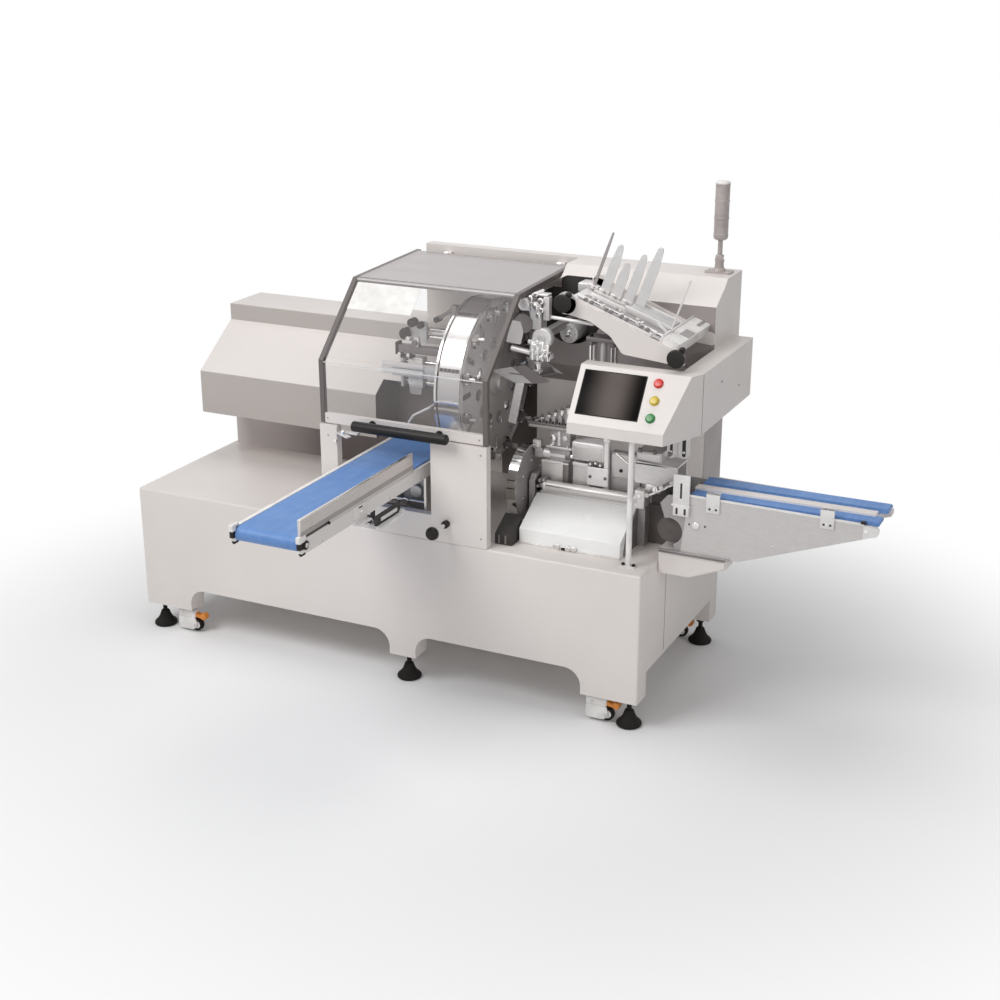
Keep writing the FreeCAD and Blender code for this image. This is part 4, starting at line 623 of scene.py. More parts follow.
def hood():
    body = Piece("feed_cover", "cream_paint")
    body.plate("x", -1530, 1290, [(408, 870), (408, 1060), (663, 1240), (663, 870)], CREAM)
    mouth = Piece()
    # The mouth's walls take the near-black cream copy, painted shade.
    mouth.block(-635, -230, 380, 598, 860, 1110, CREAM_DARKEST_PAINTED_SHADE)
    body.minus(mouth)
    # The hood's front faces take the darker cream copy, painted shade.
    body.tint(CREAM_FRONT_PAINTED_SHADE, lambda normal, middle: normal.y < -SQUARE and middle.y < 410)
    body.done("feed_hood", edge=3.0, edge_steps=3)
    rear = Piece("rear_cover", "cream_paint")
    rear.plate("z", 870, 442, [(-1530, 663), (-240, 663), (-240, 813), (-600, 813), (-600, 911),
               (-1530, 911)], CREAM)
    # The rear box's front faces take the darker cream copy, painted shade.
    rear.tint(CREAM_FRONT_PAINTED_SHADE, lambda normal, middle: normal.y < -SQUARE and middle.y < 670)
    rear.done("hood_rear_box", edge=4.0, edge_steps=3)
    trim = Piece("rear_cover_trim", "cream_paint")
    for x0, x1 in ((-1490, -1080), (-1060, -650)):
        trim.blocks(
            (x0, x1, 910, 912, 900, 1280, CREAM, 0.8, 1),
            (x0 + 40, x0 + 140, 911.5, 914, 1080, 1096, BLACK, 2))
    for z in range(690, 850, 16):
        trim.slot_mark("y", 911, -1090, z, 380, 6, SHADOW, sign=1)
    trim.done(edge=0.4)
    # The hood support takes the cream coat with painted shade, darker under the hood.
    dress("hood_support", CREAM_UNDER_PAINTED_SHADE)
    dress("rear_wall", CREAM)


def head():
    column = Piece("column_shell", "cream_paint")
    column.plate("z", 650, 510, [(4, 640), (740, 640), (740, 868), (110, 868), (110, 813), (4, 813)], CREAM)
    # The column's right face takes the dark cream copy, painted shade.
    column.tint(CREAM_DEEP_PAINTED_SHADE, lambda normal, middle: normal.x > SQUARE)
    # The column's left face takes the near-black cream copy, painted shade.
    column.tint(CREAM_DARKEST_PAINTED_SHADE, lambda normal, middle: normal.x < -SQUARE)
    # The column's front face takes the lighter cream copy, painted light.
    column.tint(CREAM_PAINTED_LIGHT, lambda normal, middle: normal.y < -SQUARE and middle.y < 650)
    column.done("rear_column", edge=3.0, edge_steps=3)
    body = Piece("head_shell", "cream_paint")
    front = [(640, 1160), (558, 1250), (558, 1548)]
    body.plate("x", 110, 680, front + [(662, 1610), (690, 1635), (868, 1635), (868, 1160)], CREAM)
    step = Piece()
    step.plate("x", 4, 107, front + [(813, 1548), (813, 1160)], CREAM)
    body.plus(step)
    hole = Piece()
    hole.rod("y", 520, 640, 188, 1474, 134, SHADOW, 0, 64)
    body.minus(hole)
    # The head housing's front faces below the slope take the dark cream copy, painted shade.
    body.tint(CREAM_DEEP_PAINTED_SHADE, lambda normal, middle: normal.y < -0.6 and middle.y < 625 and middle.z < 1550)
    body.done("head_housing", edge=3.0, edge_steps=3)
    inside = Piece("head_drive", "alloy_casting")
    inside.rods(
        "y", (536, 640, 188, 1385, 39, PALE, 3, 40), (528, 537, 188, 1385, 16, CHROME, 2),
        (600, 636, 235, 1530, 40, DARK_ALLOY, 3, 48), (590, 602, 235, 1530, 18, SATIN, 2, 32))
    inside.block(214, 262, 560, 636, 1556, 1590, PALE, 4)
    for (x, z), (low_x, low_z) in zip(ring(6, 30, 235, 1530), ring(6, 28, 188, 1385)):
        inside.screw((x, 600, z), "y", 4, 4, CHROME, BLACK)
        inside.screw((low_x, 536, low_z), "y", 3, 2, CHROME, BLACK)
    inside.done(edge=0.6)
    trim = Piece("housing_trim", "cream_paint")
    for x0, x1, z0, z1 in ((140, 420, 700, 1120), (440, 710, 700, 1120), (140, 780, 1200, 1600)):
        trim.blocks(
            (x0, x1, 866.5, 869, z0, z1, CREAM, 0.8, 1),
            (x1 - 60, x1 - 40, 868.5, 871, (z0 + z1) / 2 - 50, (z0 + z1) / 2 + 50, BLACK, 2))
    for x0, x1 in ((-580, -260), (-240, 90)):
        trim.block(x0, x1, 866.5, 869, 700, 1600, CREAM, 0.8, 1)
    for x in (-500, -320, -180, 10):
        trim.screw((x, 868.8, 1580), "y", 7, 3, STEEL, BLACK, 1)
        trim.screw((x, 868.8, 720), "y", 7, 3, STEEL, BLACK, 1)
    trim.block(600, 776, 557, 559, 1300, 1302, SHADOW)
    trim.done(edge=0.4)
    # Thin panels on the rear wall left of the column, where only shade is: painted shade, near-black below and
    # dark cream above.
    liner = Piece("inner_panel_painted_shade", "cream_paint")
    liner.blocks(
        (-236, 3, 806, 812.6, 652, 1150, CREAM_DARKEST_PAINTED_SHADE, 1, 1),
        (-236, 3, 806, 812.6, 1152, 1560, CREAM_DEEP_PAINTED_SHADE, 1, 1))
    liner.done(edge=0.4)


def tower():
    x, y = 722, 782
    lamp = Piece("tower_lamps", "grey_plastic")
    lamp.block(x - 52, x + 52, y - 32, y + 32, 1635, 1642, GREY, 8, 4, "z")
    for dx in (-42, 42):
        lamp.screw((x + dx, y, 1642), "z", 5, 3, STEEL, BLACK, 1)
    lamp.turned((x, y, 1642), "z", [(0, 0), (26, 0), (24, 8), (18, 14), (17, 34), (19, 38), (19, 46),
                (0, 46)], GREY)
    lamp.block(x - 15, x + 15, y - 12, y + 12, 1672, 1706, GREY, 5)
    lamp.rod("x", x - 17, x + 17, y, 1690, 8, STEEL, 1.5, 20)
    lamp.turned((x, y, 1700), "z", [(0, 0), (11, 0), (9.5, 8), (9.5, 60), (12, 66), (0, 66)], GREY)
    lamp.turned((x, y, 1765), "z", [(0, 0), (20, 0), (27, 5), (29, 12), (29, 20), (0, 20)], GREY)
    for step in range(3):
        low = 1785 + step * 66
        lamp.turned((x, y, low), "z", [(0, 0), (29.5, 0), (29.5, 3), (28, 5), (28, 60), (29.5, 62),
                    (29.5, 66), (0, 66)], GREY, 40)
        for rib in range(6):
            lamp.turned((x, y, low + 9 + rib * 8.5), "z", [(27.6, 0), (28.7, 1.8), (27.6, 3.6), (26, 1.8)],
                        GREY, 40)
    lamp.turned((x, y, 1983), "z", [(0, 0), (29, 0), (29, 5), (24, 9.5), (0, 10.8)], WHITE, 40)
    lamp.done("signal_tower", edge=0)


# Front panel, knob and guard

def front():
    dress("front_post", CREAM)
    dress("front_panel", CREAM)
    trim = Piece("front_fittings", "stainless_sheet")
    trim.block(-600, -470, -30, -4, 1030, 1036, PALE, 1)
    trim.strut((-590, -20, 1040), (-490, -60, 1028), 24, 4, PALE)
    trim.rod("z", 1030, 1052, -520, -52, 9, CHROME, 2)
    trim.rod("y", -42, -52, -560, 1000, 7, CHROME, 2)
    for x, z in ((-594, 700), (-594, 1020), (80, 690), (80, 1030)):
        trim.screw((x, -42, z), "y", 5, 2.5, STEEL, BLACK)
    trim.done(edge=0.6)
    knob = Piece("knob_dressed", "black_plastic", "front_knob")
    x, z = -69, 730
    knob.rod("y", -42, -24, x, z, 7.9, CHROME)
    knob.turned((x, -64, z), "y", [(0, 0), (13, 0), (15, 2), (15, 20), (13.5, 21.7), (0, 21.7)], BLACK)
    knob.rod("y", -148, -63, x, z, 8, CHROME, 0, 28)
    knob.turned((x, -178, z), "y", [(0, 0), (18, 0), (23, 3), (25, 8), (25, 22), (22, 27), (12, 30),
                (0, 30)], BLACK, 40)
    for px, pz in ring(20, 24.6, x, z):
        knob.rod("y", -170, -156, px, pz, 1.6, BLACK, 0, 8)
    knob.done("adjusting_knob", edge=0)


GUARD_LINE = [(-32, 1067), (-34, 1322), (250, 1595), (788, 1612)]
TUBE = 20


def inner_line(points, distance):
    """Side line of the guard moved inwards by a distance, mitred at its knees."""
    runs = [(Vector(b) - Vector(a)).normalized() for a, b in zip(points, points[1:])]
    sides = [Vector((run.y, -run.x)) for run in runs]
    moved = [Vector(points[0]) + sides[0] * distance]
    for point, before, after in zip(points[1:-1], sides, sides[1:]):
        moved.append(Vector(point) + (before + after) * distance / (1 + before.dot(after)))
    moved.append(Vector(points[-1]) + sides[-1] * distance)
    return [tuple(point) for point in moved]


def guard():
    tubes = Piece("guard_tubes", "guard_grey_paint", "guard")
    inside = inner_line(GUARD_LINE, TUBE)
    for x in (-632, 84):
        tubes.plate("x", x, TUBE, GUARD_LINE + inside[::-1], GUARD)
    tubes.block(-612, 84, -32, -12, 1067, 1107, CREAM)
    y, z = [(GUARD_LINE[2][k] + inside[2][k]) / 2 for k in (0, 1)]
    tubes.rod("x", -613, 85, y, z, TUBE / 2 - 1, CAST, 0)
    (y0, z0), (y1, z1) = GUARD_LINE[2], GUARD_LINE[3]
    for back in (20, 170, 320):
        share = 1 - back / math.hypot(y1 - y0, z1 - z0)
        y, z = y0 + (y1 - y0) * share, z0 + (z1 - z0) * share
        tubes.block(-613, 85, y, y + 20, z - 20, z - 6, GUARD)
    for x in (-488, 38):
        tubes.rod("x", x - 18, x, 801.7, 1602, 11, STEEL, 1)
        tubes.block(x - 18, x, 768, 801.7, 1597, 1602, STEEL)
        tubes.screw((x - 9, 780, 1602), "z", 4, 2, STEEL, BLACK, 1)
    for x in (-600, -300, 70):
        tubes.screw((x, -32, 1087), "y", 4.5, 2, STEEL, BLACK)
    tubes.done("guard_frame", edge=1.5)

    panes = Piece("guard_sheets", "clear_pane", "guard")
    line = [(-32, 1107), GUARD_LINE[1], GUARD_LINE[2], GUARD_LINE[3]]
    for start, end, skip_start, skip_end, finish in ((0, 1, 0.5, 15, PANE), (1, 2, 15, 15, PANE),
                                                     (2, 3, 15, 22, ROOF_PANE)):
        first, last = Vector(line[start]), Vector(line[end])
        run = (last - first).normalized()
        near, far = first + run * skip_start, last - run * skip_end
        deep = Vector((run.y, -run.x)) * 5
        outline = [tuple(near), tuple(far), tuple(far + deep), tuple(near + deep)]
        panes.plate("x", -612, 696, outline, finish)
    panes.block(-612, 84, -33, -28, 1312, 1316, FROST)
    run = (Vector(GUARD_LINE[2]) - Vector(GUARD_LINE[1])).normalized()
    deep = Vector((run.y, -run.x)) * -1.2
    low, high = Vector(GUARD_LINE[2]) - run * 150, Vector(GUARD_LINE[2]) - run * 22
    panes.plate("x", -600, 286, [tuple(low), tuple(high), tuple(high + deep), tuple(low + deep)], WHITE)
    panes.done("guard_panes", edge=0.5)

    grip = Piece("grip_dressed", "black_plastic", "guard")
    grip.turned((-455, -85, 1087), "x", [(0, 0), (16, 0), (20, 3), (21, 8), (21, 405), (20, 411), (15, 415),
                (0, 415)], BLACK, 40)
    for x in (-395, -100):
        grip.rods("y", (-85, -32, x, 1087, 9, BLACK, 1), (-38, -32, x, 1087, 15, BLACK, 1.5))
    grip.done("guard_grip", edge=0)


# Drum and what works round it

DRUM = Vector((-170, 384, 1203))


def drum():
    x, y, z = DRUM
    rim = Piece("drum_band", "chromed_steel", "drum")
    rim.turned((x, y, z), "x", [(323, 0), (331, 0), (331, 9), (325, 10), (325, 15), (329, 16), (329, 104),
               (331, 106), (331, 110), (323, 110)], BAND, 120)
    for face in rim.bm.faces:
        middle = face.calc_center_median()
        angle = math.degrees(math.atan2(middle.z - z, y - middle.y))
        if middle.x < x + 9.5:
            face.material_index = rim.number(CHROME)
        elif middle.x < x + 15.5:
            face.material_index = rim.number(DARK_ALLOY)
        elif -2 < angle < 18:
            face.material_index = rim.number(SATIN)
    for angle, finish, high, width in ((18.5, DARK_ALLOY, 4, 5), (-2.5, CHROME, 6, 6), (62, DARK_ALLOY, 3, 8)):
        rim.turn = turned_about((0, y, z), math.radians(-angle))
        rim.block(x + 9, x + 106, -329 - high, -326, -width / 2, width / 2, finish)
        if finish is DARK_ALLOY:
            for step in range(5):
                left = x + 20 + step * 17
                rim.block(left, left + 11, -330 - high, -328, -width / 2 + 1, width / 2 + 9, SHADOW)
    rim.done("drum_rim", edge=0.5)

    disc = Piece("drum_wheel", "alloy_casting", "drum")
    face_x = x + 102
    disc.rod("x", face_x, face_x + 8, y, z, 322, SATIN, 0, 120)
    # The slots' walls take the dark alloy, painted shade inside the slots.
    slots = Piece()
    for step in range(12):
        slots.turn = turned_about((0, y, z), math.tau * step / 12)
        slots.block(face_x - 5, face_x + 13, -11, 11, 227, 297, DARK_ALLOY, 8, 4, "x")
        slots.rod("x", face_x - 5, face_x + 13, 60, 150, 24, DARK_ALLOY, 0, 32)
    disc.minus(slots)
    disc.turned((face_x + 8, y, z), "x", [(303, -1), (303, 1.5), (321, 1.5), (321, -1)], PALE, 120)
    for screw_z, screw_y in ring(12, 190, z, y, 0.5):
        disc.screw((face_x + 8, screw_y, screw_z), "x", 6, 4, CHROME, SHADOW, 1)
    disc.turned((face_x - 46, y, z), "x", [(0, 0), (62, 0), (62, 46), (0, 46)], SATIN, 48)
    disc.turned((face_x + 8, y, z), "x", [(0, 0), (62, 0), (62, 6), (44, 10), (44, 26), (38, 34), (0, 34)],
                SATIN, 48)
    disc.rod("x", -208, face_x, y, z, 25, CHROME, 0, 40)
    disc.done("drum_disc", edge=0.8)

    jaws = Piece("drum_jaws", "stainless_sheet", "drum")
    for step in range(12):
        jaws.turn = turned_about((-60, y, z), math.tau * (step + 0.5) / 12)
        jaws.blocks((0, 34, -17, 17, 293, 319, DARK_ALLOY, 3), (30, 57, -6, 6, 295, 318, STEEL, 2))
        jaws.rod("y", -22, 22, 18, 306, 5, CHROME, 1, 16)
        jaws.block(2, 26, -20, -15, 270, 300, STEEL, 1.5)
        jaws.rod("y", -24, -14, 10, 280, 6, BLACK, 1, 16)
    jaws.done("drum_grippers", edge=0.6)


def bearing_arm():
    arm = Piece("bearing_plate", "cream_paint")
    arm.plate("x", -210, 28, [(268, 1170), (300, 1140), (813, 1140), (813, 1296), (300, 1296), (268, 1266)],
              SATIN)
    arm.turned((-214, DRUM.y, DRUM.z), "x", [(26, 0), (52, 0), (56, 4), (56, 34), (26, 34)], DARK_ALLOY, 40)
    for y, z in ring(6, 41, DRUM.y, DRUM.z):
        arm.screw((-214, y, z), "x", 5, 4, CHROME, BLACK)
    arm.done("drum_bearing", edge=1.5)


def pusher_parts():
    rods = Piece("guide_rods", "chromed_steel")
    for z in (1180, 1262):
        rods.rods(
            "x", (-438, -210, 300, z, 8, CHROME), (-442, -438, 300, z, 5, BLACK, 0, 6),
            (-216, -210, 300, z, 15, SATIN, 1))
    rods.block(-438, -426, 277, 323, 1156, 1286, SATIN, 5, 3, "x")
    rods.done("pusher_rods", edge=0.6)

    block = Piece("carriage_block", "alloy_casting", "carriage")
    block.blocks((-404, -338, 279, 321, 1158, 1284, SATIN, 4), (-404, -338, 277, 280, 1170, 1272, WHITE, 2))
    for z in (1190, 1222, 1254):
        for x in (-394, -348):
            block.screw((x, 277, z), "y", 4, 2, CHROME, BLACK)
    block.plate("y", 279, 8, [(-400, 1160), (-400, 1138), (-394, 1130), (-350, 1130), (-344, 1138),
                (-344, 1160)], CAST, 3, 3)
    block.done("pusher_carriage", edge=0.8)

    upper = Piece("upper_clamp", "alloy_casting")
    upper.block(-214, -186, 282, 318, 1290, 1512, DARK_ALLOY, 3)
    for z in (1372, 1404):
        upper.rod("x", -412, -200, 300, z, 7, CHROME)
    upper.blocks((-400, -330, 284, 316, 1352, 1424, SATIN, 4), (-352, -318, 278, 286, 1346, 1438, WHITE, 3))
    upper.rods(
        "y", (270, 318, -416, 1378, 24, BLACK, 3), (262, 300, -380, 1428, 18, BLACK, 3),
        (256, 280, -338, 1424, 14, BLACK, 3), (262, 300, -396, 1362, 10, CHROME, 2),
        (260, 300, -366, 1346, 12, DARK_ALLOY, 2))
    upper.block(-372, -350, 270, 290, 1330, 1372, STEEL, 2)
    upper.strut((-276, 300, 1448), (-196, 300, 1504), 24, 14, DARK_ALLOY)
    upper.rod("y", 280, 320, -276, 1448, 12, BLACK, 2)
    upper.blocks(
        (-300, -210, 286, 314, 1386, 1398, STEEL, 2), (-456, -208, 280, 312, 1298, 1330, DARK_ALLOY, 2),
        (-514, -323, 255, 261, 1212, 1236, PALE, 1), (-514, -323, 255, 261, 1240, 1263, PALE, 1),
        (-470, -209, 260, 266, 1206, 1262, FROST, 1), (-214, -204, 260, 276, 1206, 1262, PALE, 1))
    upper.bar((-336, 150, 1052), (-314, 150, 1084), 5, WHITE, 0, 16)
    upper.ball((-314, 150, 1084), 5, WHITE)
    upper.bar((-314, 150, 1084), (-241, 150, 1126), 5, WHITE, 0, 16)
    upper.bar((-241, 150, 1126), (-208, 290, 1156), 5, WHITE, 0, 16)
    upper.block(-462, -450, 276, 316, 1288, 1340, BLACK, 3)
    for x in (-440, -400):
        upper.rods("y", (268, 300, x, 1292, 8, CHROME, 1.5), (264, 300, x + 14, 1286, 6, BLACK, 1.5))
    upper.done(edge=0.6)


def gripper_parts():
    grip = Piece("bag_jaw", "alloy_casting")
    grip.block(144, 178, 330, 638, 1404, 1436, CAST, 4)
    grip.rods("y", (296, 330, 176, 1418, 42, PALE, 8, 40), (290, 297, 176, 1418, 16, SATIN, 2, 28))
    grip.bar((176, 318, 1504), (386, 318, 1492), 7, PALE, 1.5, 20)
    grip.block(124, 174, 296, 356, 1450, 1560, SATIN, 5)
    grip.rods("y", (284, 300, 104, 1548, 24, PALE, 2, 32), (281, 286, 104, 1548, 13, SATIN, 1))
    grip.block(96, 136, 296, 330, 1520, 1570, STEEL, 4)
    for x, z, radius, length in ((128, 1572, 12, 60), (152, 1590, 9, 70), (172, 1566, 13, 50),
                                 (148, 1540, 14, 30), (176, 1530, 10, 36), (160, 1508, 12, 28)):
        grip.rods(
            "y", (290, 290 + length, x, z, radius, CHROME, 2, 28),
            (284, 291, x, z, radius * 0.55, DARK_ALLOY, 1, 6))
    grip.blocks((132, 200, 300, 340, 1584, 1592, STEEL, 2), (180, 206, 300, 330, 1490, 1584, SATIN, 4, 2))
    grip.plate("y", 290, 30, ring(8, 40, 100, 1472, 0.5), DARK_ALLOY)
    grip.block(112, 130, 296, 330, 1440, 1500, DARK_ALLOY, 2)
    grip.plate("y", 286, 5, [(30, 1392), (92, 1388), (104, 1440), (92, 1478), (52, 1482)], SATIN, 4)
    for x, z in ((132, 1404), (150, 1388), (168, 1400), (186, 1372), (202, 1352), (160, 1360), (178, 1344)):
        grip.rods("y", (282, 320, x, z, 9, CHROME, 1.5, 20), (276, 283, x, z, 5, PALE, 0, 6))
    for x, high, radius in ((137, 1404, 11), (158, 1412, 12), (180, 1408, 12), (202, 1396, 10)):
        grip.rods(
            "z", (1330, high, x, 300, radius, CHROME, 2, 28),
            (high - 1, high + 7, x, 300, radius * 0.6, PALE, 1, 20),
            (1362, 1370, x, 300, radius + 2, PALE, 1, 28))
    grip.block(124, 214, 304, 334, 1336, 1356, PALE, 3)
    grip.bar((44, 306, 1366), (150, 306, 1352), 11, PALE, 2)
    grip.done("bag_gripper", edge=0.6)

    wings = Piece("spreader_wings", "stainless_sheet")
    wings.plate("y", 292, 5, [(54, 1291), (110, 1306), (214, 1251), (143, 1234)], DARK_ALLOY)
    wings.plate("y", 298, 5, [(-46, 1266), (54, 1291), (143, 1234), (60, 1228)], SATIN)
    wings.plate("y", 440, 5, [(44, 1296), (110, 1300), (206, 1244), (120, 1258), (60, 1264)], STEEL)
    wings.plate("z", 1262, 5, [(40, 296), (150, 296), (206, 370), (150, 446), (40, 446)], DARK_ALLOY)
    wings.block(20, 120, 300, 440, 1252, 1262, STEEL, 2)
    wings.rod("z", 1256, 1340, 149, 326, 12, CHROME)
    wings.strut((48, 305, 1060), (88, 305, 1252), 8, 34, PALE, up=(1, 0, 0))
    for z in (1276, 1312):
        wings.rod("z", z, z + 10, 149, 326, 20, SATIN, 2)
    wings.done("bag_spreader", edge=0.5)


# Lower transfer wheel and sealing station

LOWER_WHEEL = Vector((100, 293, 829))


def transfer():
    wheel = Piece("transfer_band", "chromed_steel", "lower_wheel")
    wheel.turned(LOWER_WHEEL, "x", [(149, 0), (155, 0), (155, 40), (149, 40)], CHROME, 96)
    wheel.turned(LOWER_WHEEL, "x", [(34, 34), (150, 34), (150, 40), (34, 40)], CAST, 64)
    wheel.turned(LOWER_WHEEL, "x", [(0, 6), (34, 6), (34, 40), (0, 40)], DARK_ALLOY, 40)
    wheel.rod("x", 106, 174, LOWER_WHEEL.y, LOWER_WHEEL.z, 14, CHROME)
    for step in range(6):
        turn = turned_about(LOWER_WHEEL, math.tau * step / 6)
        wheel.turn = turn
        wheel.block(20, 35, -5, 5, 30, 150, SATIN, 2)
        wheel.screw((40, 0, 90), "x", 6, 3, CHROME, BLACK, 1)
        for lean in (-6, 6):
            wheel.turn = turn @ Matrix.Rotation(math.radians(18 + lean), 4, "X")
            wheel.block(2, 38, -2.5, 2.5, 154, 155.4, SHADOW)
    wheel.done("transfer_wheel", edge=0.5)

    post = Piece("wheel_post", "alloy_casting")
    post.plate("x", 150, 24, [(248, 650), (338, 650), (338, 850), (316, 874), (270, 874), (248, 850)], CAST)
    post.turned((148, LOWER_WHEEL.y, LOWER_WHEEL.z), "x", [(14.2, 0), (30, 0), (32, 3), (32, 26),
                (14.2, 26)], DARK_ALLOY, 32)
    post.done("wheel_bearing", edge=1.0)

    # Dark sheet beside the transfer wheel, where only shade is: painted shade.
    gap = Piece("wheel_pit_painted_shade", "cream_paint")
    gap.plate("x", 104, 72, [(30, 651), (128, 651), (128, 748), (30, 694)], SHADOW, 2)
    for x in (118, 146):
        gap.block(x, x + 8, 28.5, 31, 654, 690, DARK_ALLOY)
    gap.done(edge=0.8)


def sealing():
    cover = Piece("seal_hood", "cream_paint")
    # The seal cover's sheet is white low down and painted grey shade towards its top.
    cover.plate("x", 183, 421, [(86, 650), (86, 710), (253, 805), (253, 650)], COVER_PAINTED_SHADE)
    cover.tint(PALE, lambda normal, middle: normal.y < -SQUARE)
    cover.done("seal_cover", edge=1.5)
    lips = Piece("seal_hood_fittings", "stainless_sheet")
    lips.blocks(
        (180, 607, 78, 87, 650, 657, WHITE, 1.5), (330, 430, 76, 86, 656, 666, STEEL, 2),
        (345, 360, 72, 80, 652, 676, CHROME, 2))
    lips.rod("y", 84, 70, 394, 662, 11, CHROME, 2)
    lips.blocks((408, 428, 72, 80, 654, 672, CHROME, 2), (366, 382, 74, 78, 652, 662, BLACK, 1))
    lips.done(edge=0.5)

    dress("seal_bed", CAST)
    rail = Piece("seal_bar", "chromed_steel")
    rail.rod("x", 222, 612, 261, 835, 22, SATIN, 0, 40)
    rail.block(228, 606, 236, 240, 842, 848, STEEL, 1)
    rail.rod("x", 212, 224, 261, 835, 25, SATIN, 2, 40)
    rail.blocks((598, 640, 240, 284, 806, 880, PALE, 4), (200, 598, 252, 258, 800, 816, SATIN, 1.5))
    rail.rod("y", 236, 242, 619, 858, 7, CHROME, 1)
    for x, z, radius in ((206, 838, 11), (196, 856, 9), (214, 862, 8), (188, 832, 7)):
        rail.rods(
            "y", (246, 284, x, z, radius, DARK_ALLOY, 1.5, 20), (240, 247, x, z, radius * 0.6, CHROME, 0, 6))
    rail.done("seal_rail", edge=0.6)

    press = Piece("press_column", "alloy_casting")
    press.blocks(
        (214, 302, 300, 364, 813, 984, CAST, 4), (183, 276, 292, 308, 842, 925, SATIN, 3),
        (276, 301, 290, 308, 848, 932, DARK_ALLOY, 2), (183, 301, 288, 308, 922, 928, PALE, 1),
        (202, 314, 288, 376, 982, 992, SATIN, 3, 3), (214, 302, 300, 364, 990, 1058, CAST, 5))
    for x in (224, 292):
        for y in (296, 368):
            press.screw((x, y, 992), "z", 5, 6, CHROME, BLACK, 1)
    press.rods(
        "x", (169, 296, 318, 951, 19, PALE, 2, 36), (282, 300, 318, 951, 22, DARK_ALLOY, 2, 36),
        (296, 318, 318, 951, 14, CHROME, 0, 32))
    press.blocks((150, 186, 296, 340, 934, 972, CAST, 5), (140, 176, 300, 330, 968, 1004, SATIN, 4, 2))
    press.rods("y", (292, 304, 158, 984, 12, CHROME, 2), (286, 302, 232, 1026, 13, CHROME, 2))
    press.blocks((250, 262, 294, 302, 994, 1054, PALE, 1.5), (226, 236, 294, 302, 994, 1012, PALE, 1.5))
    press.rod("y", 288, 302, 284, 1030, 10, PALE, 2)
    press.done("seal_pedestal", edge=0.6)

    bank = Piece("air_cylinders", "stainless_sheet")
    bank.blocks((126, 330, 290, 374, 1058, 1070, CAST, 3), (118, 324, 296, 368, 1070, 1078, DARK_ALLOY, 2))
    for step in range(7):
        x = 142 + 28 * step
        top = 1092 + 13 * step
        bank.rods(
            "z", (1074, top - 16, x, 326, 11, CHROME, 1.5, 28),
            (top - 18, top - 10, x, 326, 12.5, STEEL, 1, 6), (top - 10, top, x, 326, 6, DARK_ALLOY, 1, 16))
        bank.block(x - 8, x + 8, 306, 316, 1072, 1072 + 0.6 * (top - 1072), CAST, 2)
        bank.rod("y", 300, 312, x, 1084, 4, BLACK, 0, 12)
    bank.done("seal_cylinders", edge=0.5)

    drive = Piece("drive_housing", "alloy_casting")
    drive.blocks(
        (315, 451, 284, 364, 950, 1026, PALE, 8, 4), (322, 444, 281, 285, 957, 1010, SATIN, 3),
        (451, 471, 284, 314, 813, 1065, PALE, 3, 3), (447, 475, 280, 318, 1040, 1052, STEEL, 2),
        (474, 600, 300, 340, 820, 1000, CAST, 4), (480, 596, 296, 304, 900, 994, SATIN, 3))
    drive.bar((500, 290, 1000), (560, 296, 956), 4, CHROME, 0, 16)
    drive.rod("y", 292, 300, 520, 930, 7, BLACK, 1.5)
    drive.blocks(
        (391, 451, 304, 344, 813, 952, CAST, 3, 3), (318, 390, 292, 340, 834, 938, SATIN, 3, 3),
        (318, 384, 288, 294, 926, 940, PALE, 2), (385, 474, 276, 284, 858, 934, PALE, 3, 3))
    for x in (399, 463):
        drive.screw((x, 276, 895), "y", 6.5, 4, DARK_ALLOY, BLACK)
    drive.rod("z", 1060, 1078, 461, 299, 9, CHROME, 2)
    for x, z in ((398, 946), (420, 952), (440, 946)):
        drive.rods("y", (280, 340, x, z, 10, DARK_ALLOY, 2, 20), (274, 281, x, z, 5, CHROME, 0, 6))
    drive.done("seal_drive", edge=0.8)

    chute = Piece("outlet_chute", "stainless_sheet")
    chute.plate("y", 250, 6, [(595, 910), (765, 906), (765, 985), (595, 997)], PALE, 3)
    chute.plate("z", 985, 6, [(595, 250), (765, 250), (765, 372), (595, 372)], PALE, 2)
    chute.blocks(
        (593, 697, 262, 372, 990, 1034, SATIN, 4), (600, 690, 259, 264, 998, 1028, PALE, 2),
        (596, 762, 366, 372, 900, 988, SATIN, 2))
    chute.bar((640, 262, 900), (700, 262, 892), 20, PALE, 6, 32)
    chute.block(610, 640, 290, 330, 812, 992, CAST, 2)
    for x in (596, 656, 716):
        chute.rod("x", x + 8, x + 20, 256, 1040, 9, DARK_ALLOY, 1.5, 20)
    chute.bar((659, 200, 890), (764, 200, 952), 5, DARK_ALLOY, 0, 16)
    chute.bar((672, 196, 884), (776, 196, 944), 5, CHROME, 0, 16)
    chute.rods(
        "y", (186, 256, 668, 886, 9, SATIN, 1.5, 20), (188, 206, 700, 912, 11, CHROME, 2),
        (186, 206, 724, 924, 9, PALE, 2), (184, 210, 760, 916, 17, BLACK, 3, 28),
        (190, 262, 764, 948, 8, SATIN, 1.5, 20))
    chute.done(edge=0.6)

    hangers = Piece("slotted_hangers", "stainless_sheet")
    for x0, x1, low in ((703, 738, 1010), (749, 793, 1013)):
        middle = (x0 + x1) / 2
        outline = [(x0, 1160), (x0, low + 14), (x0 + 12, low), (x1 - 12, low), (x1, low + 14), (x1, 1160)]
        hangers.plate("y", 300, 5, outline, PALE, 2)
        hangers.slot_mark("y", 300, middle, 1058, 76, (x1 - x0) * 0.34, SHADOW, upright=True)
        hangers.screw((middle, 299.5, low + 26), "y", 5, 3, CHROME, SHADOW)
    hangers.blocks((690, 800, 298, 312, 1158, 1180, CAST, 2), (700, 730, 310, 642, 1160, 1176, CAST, 2))
    hangers.done(edge=0.5)

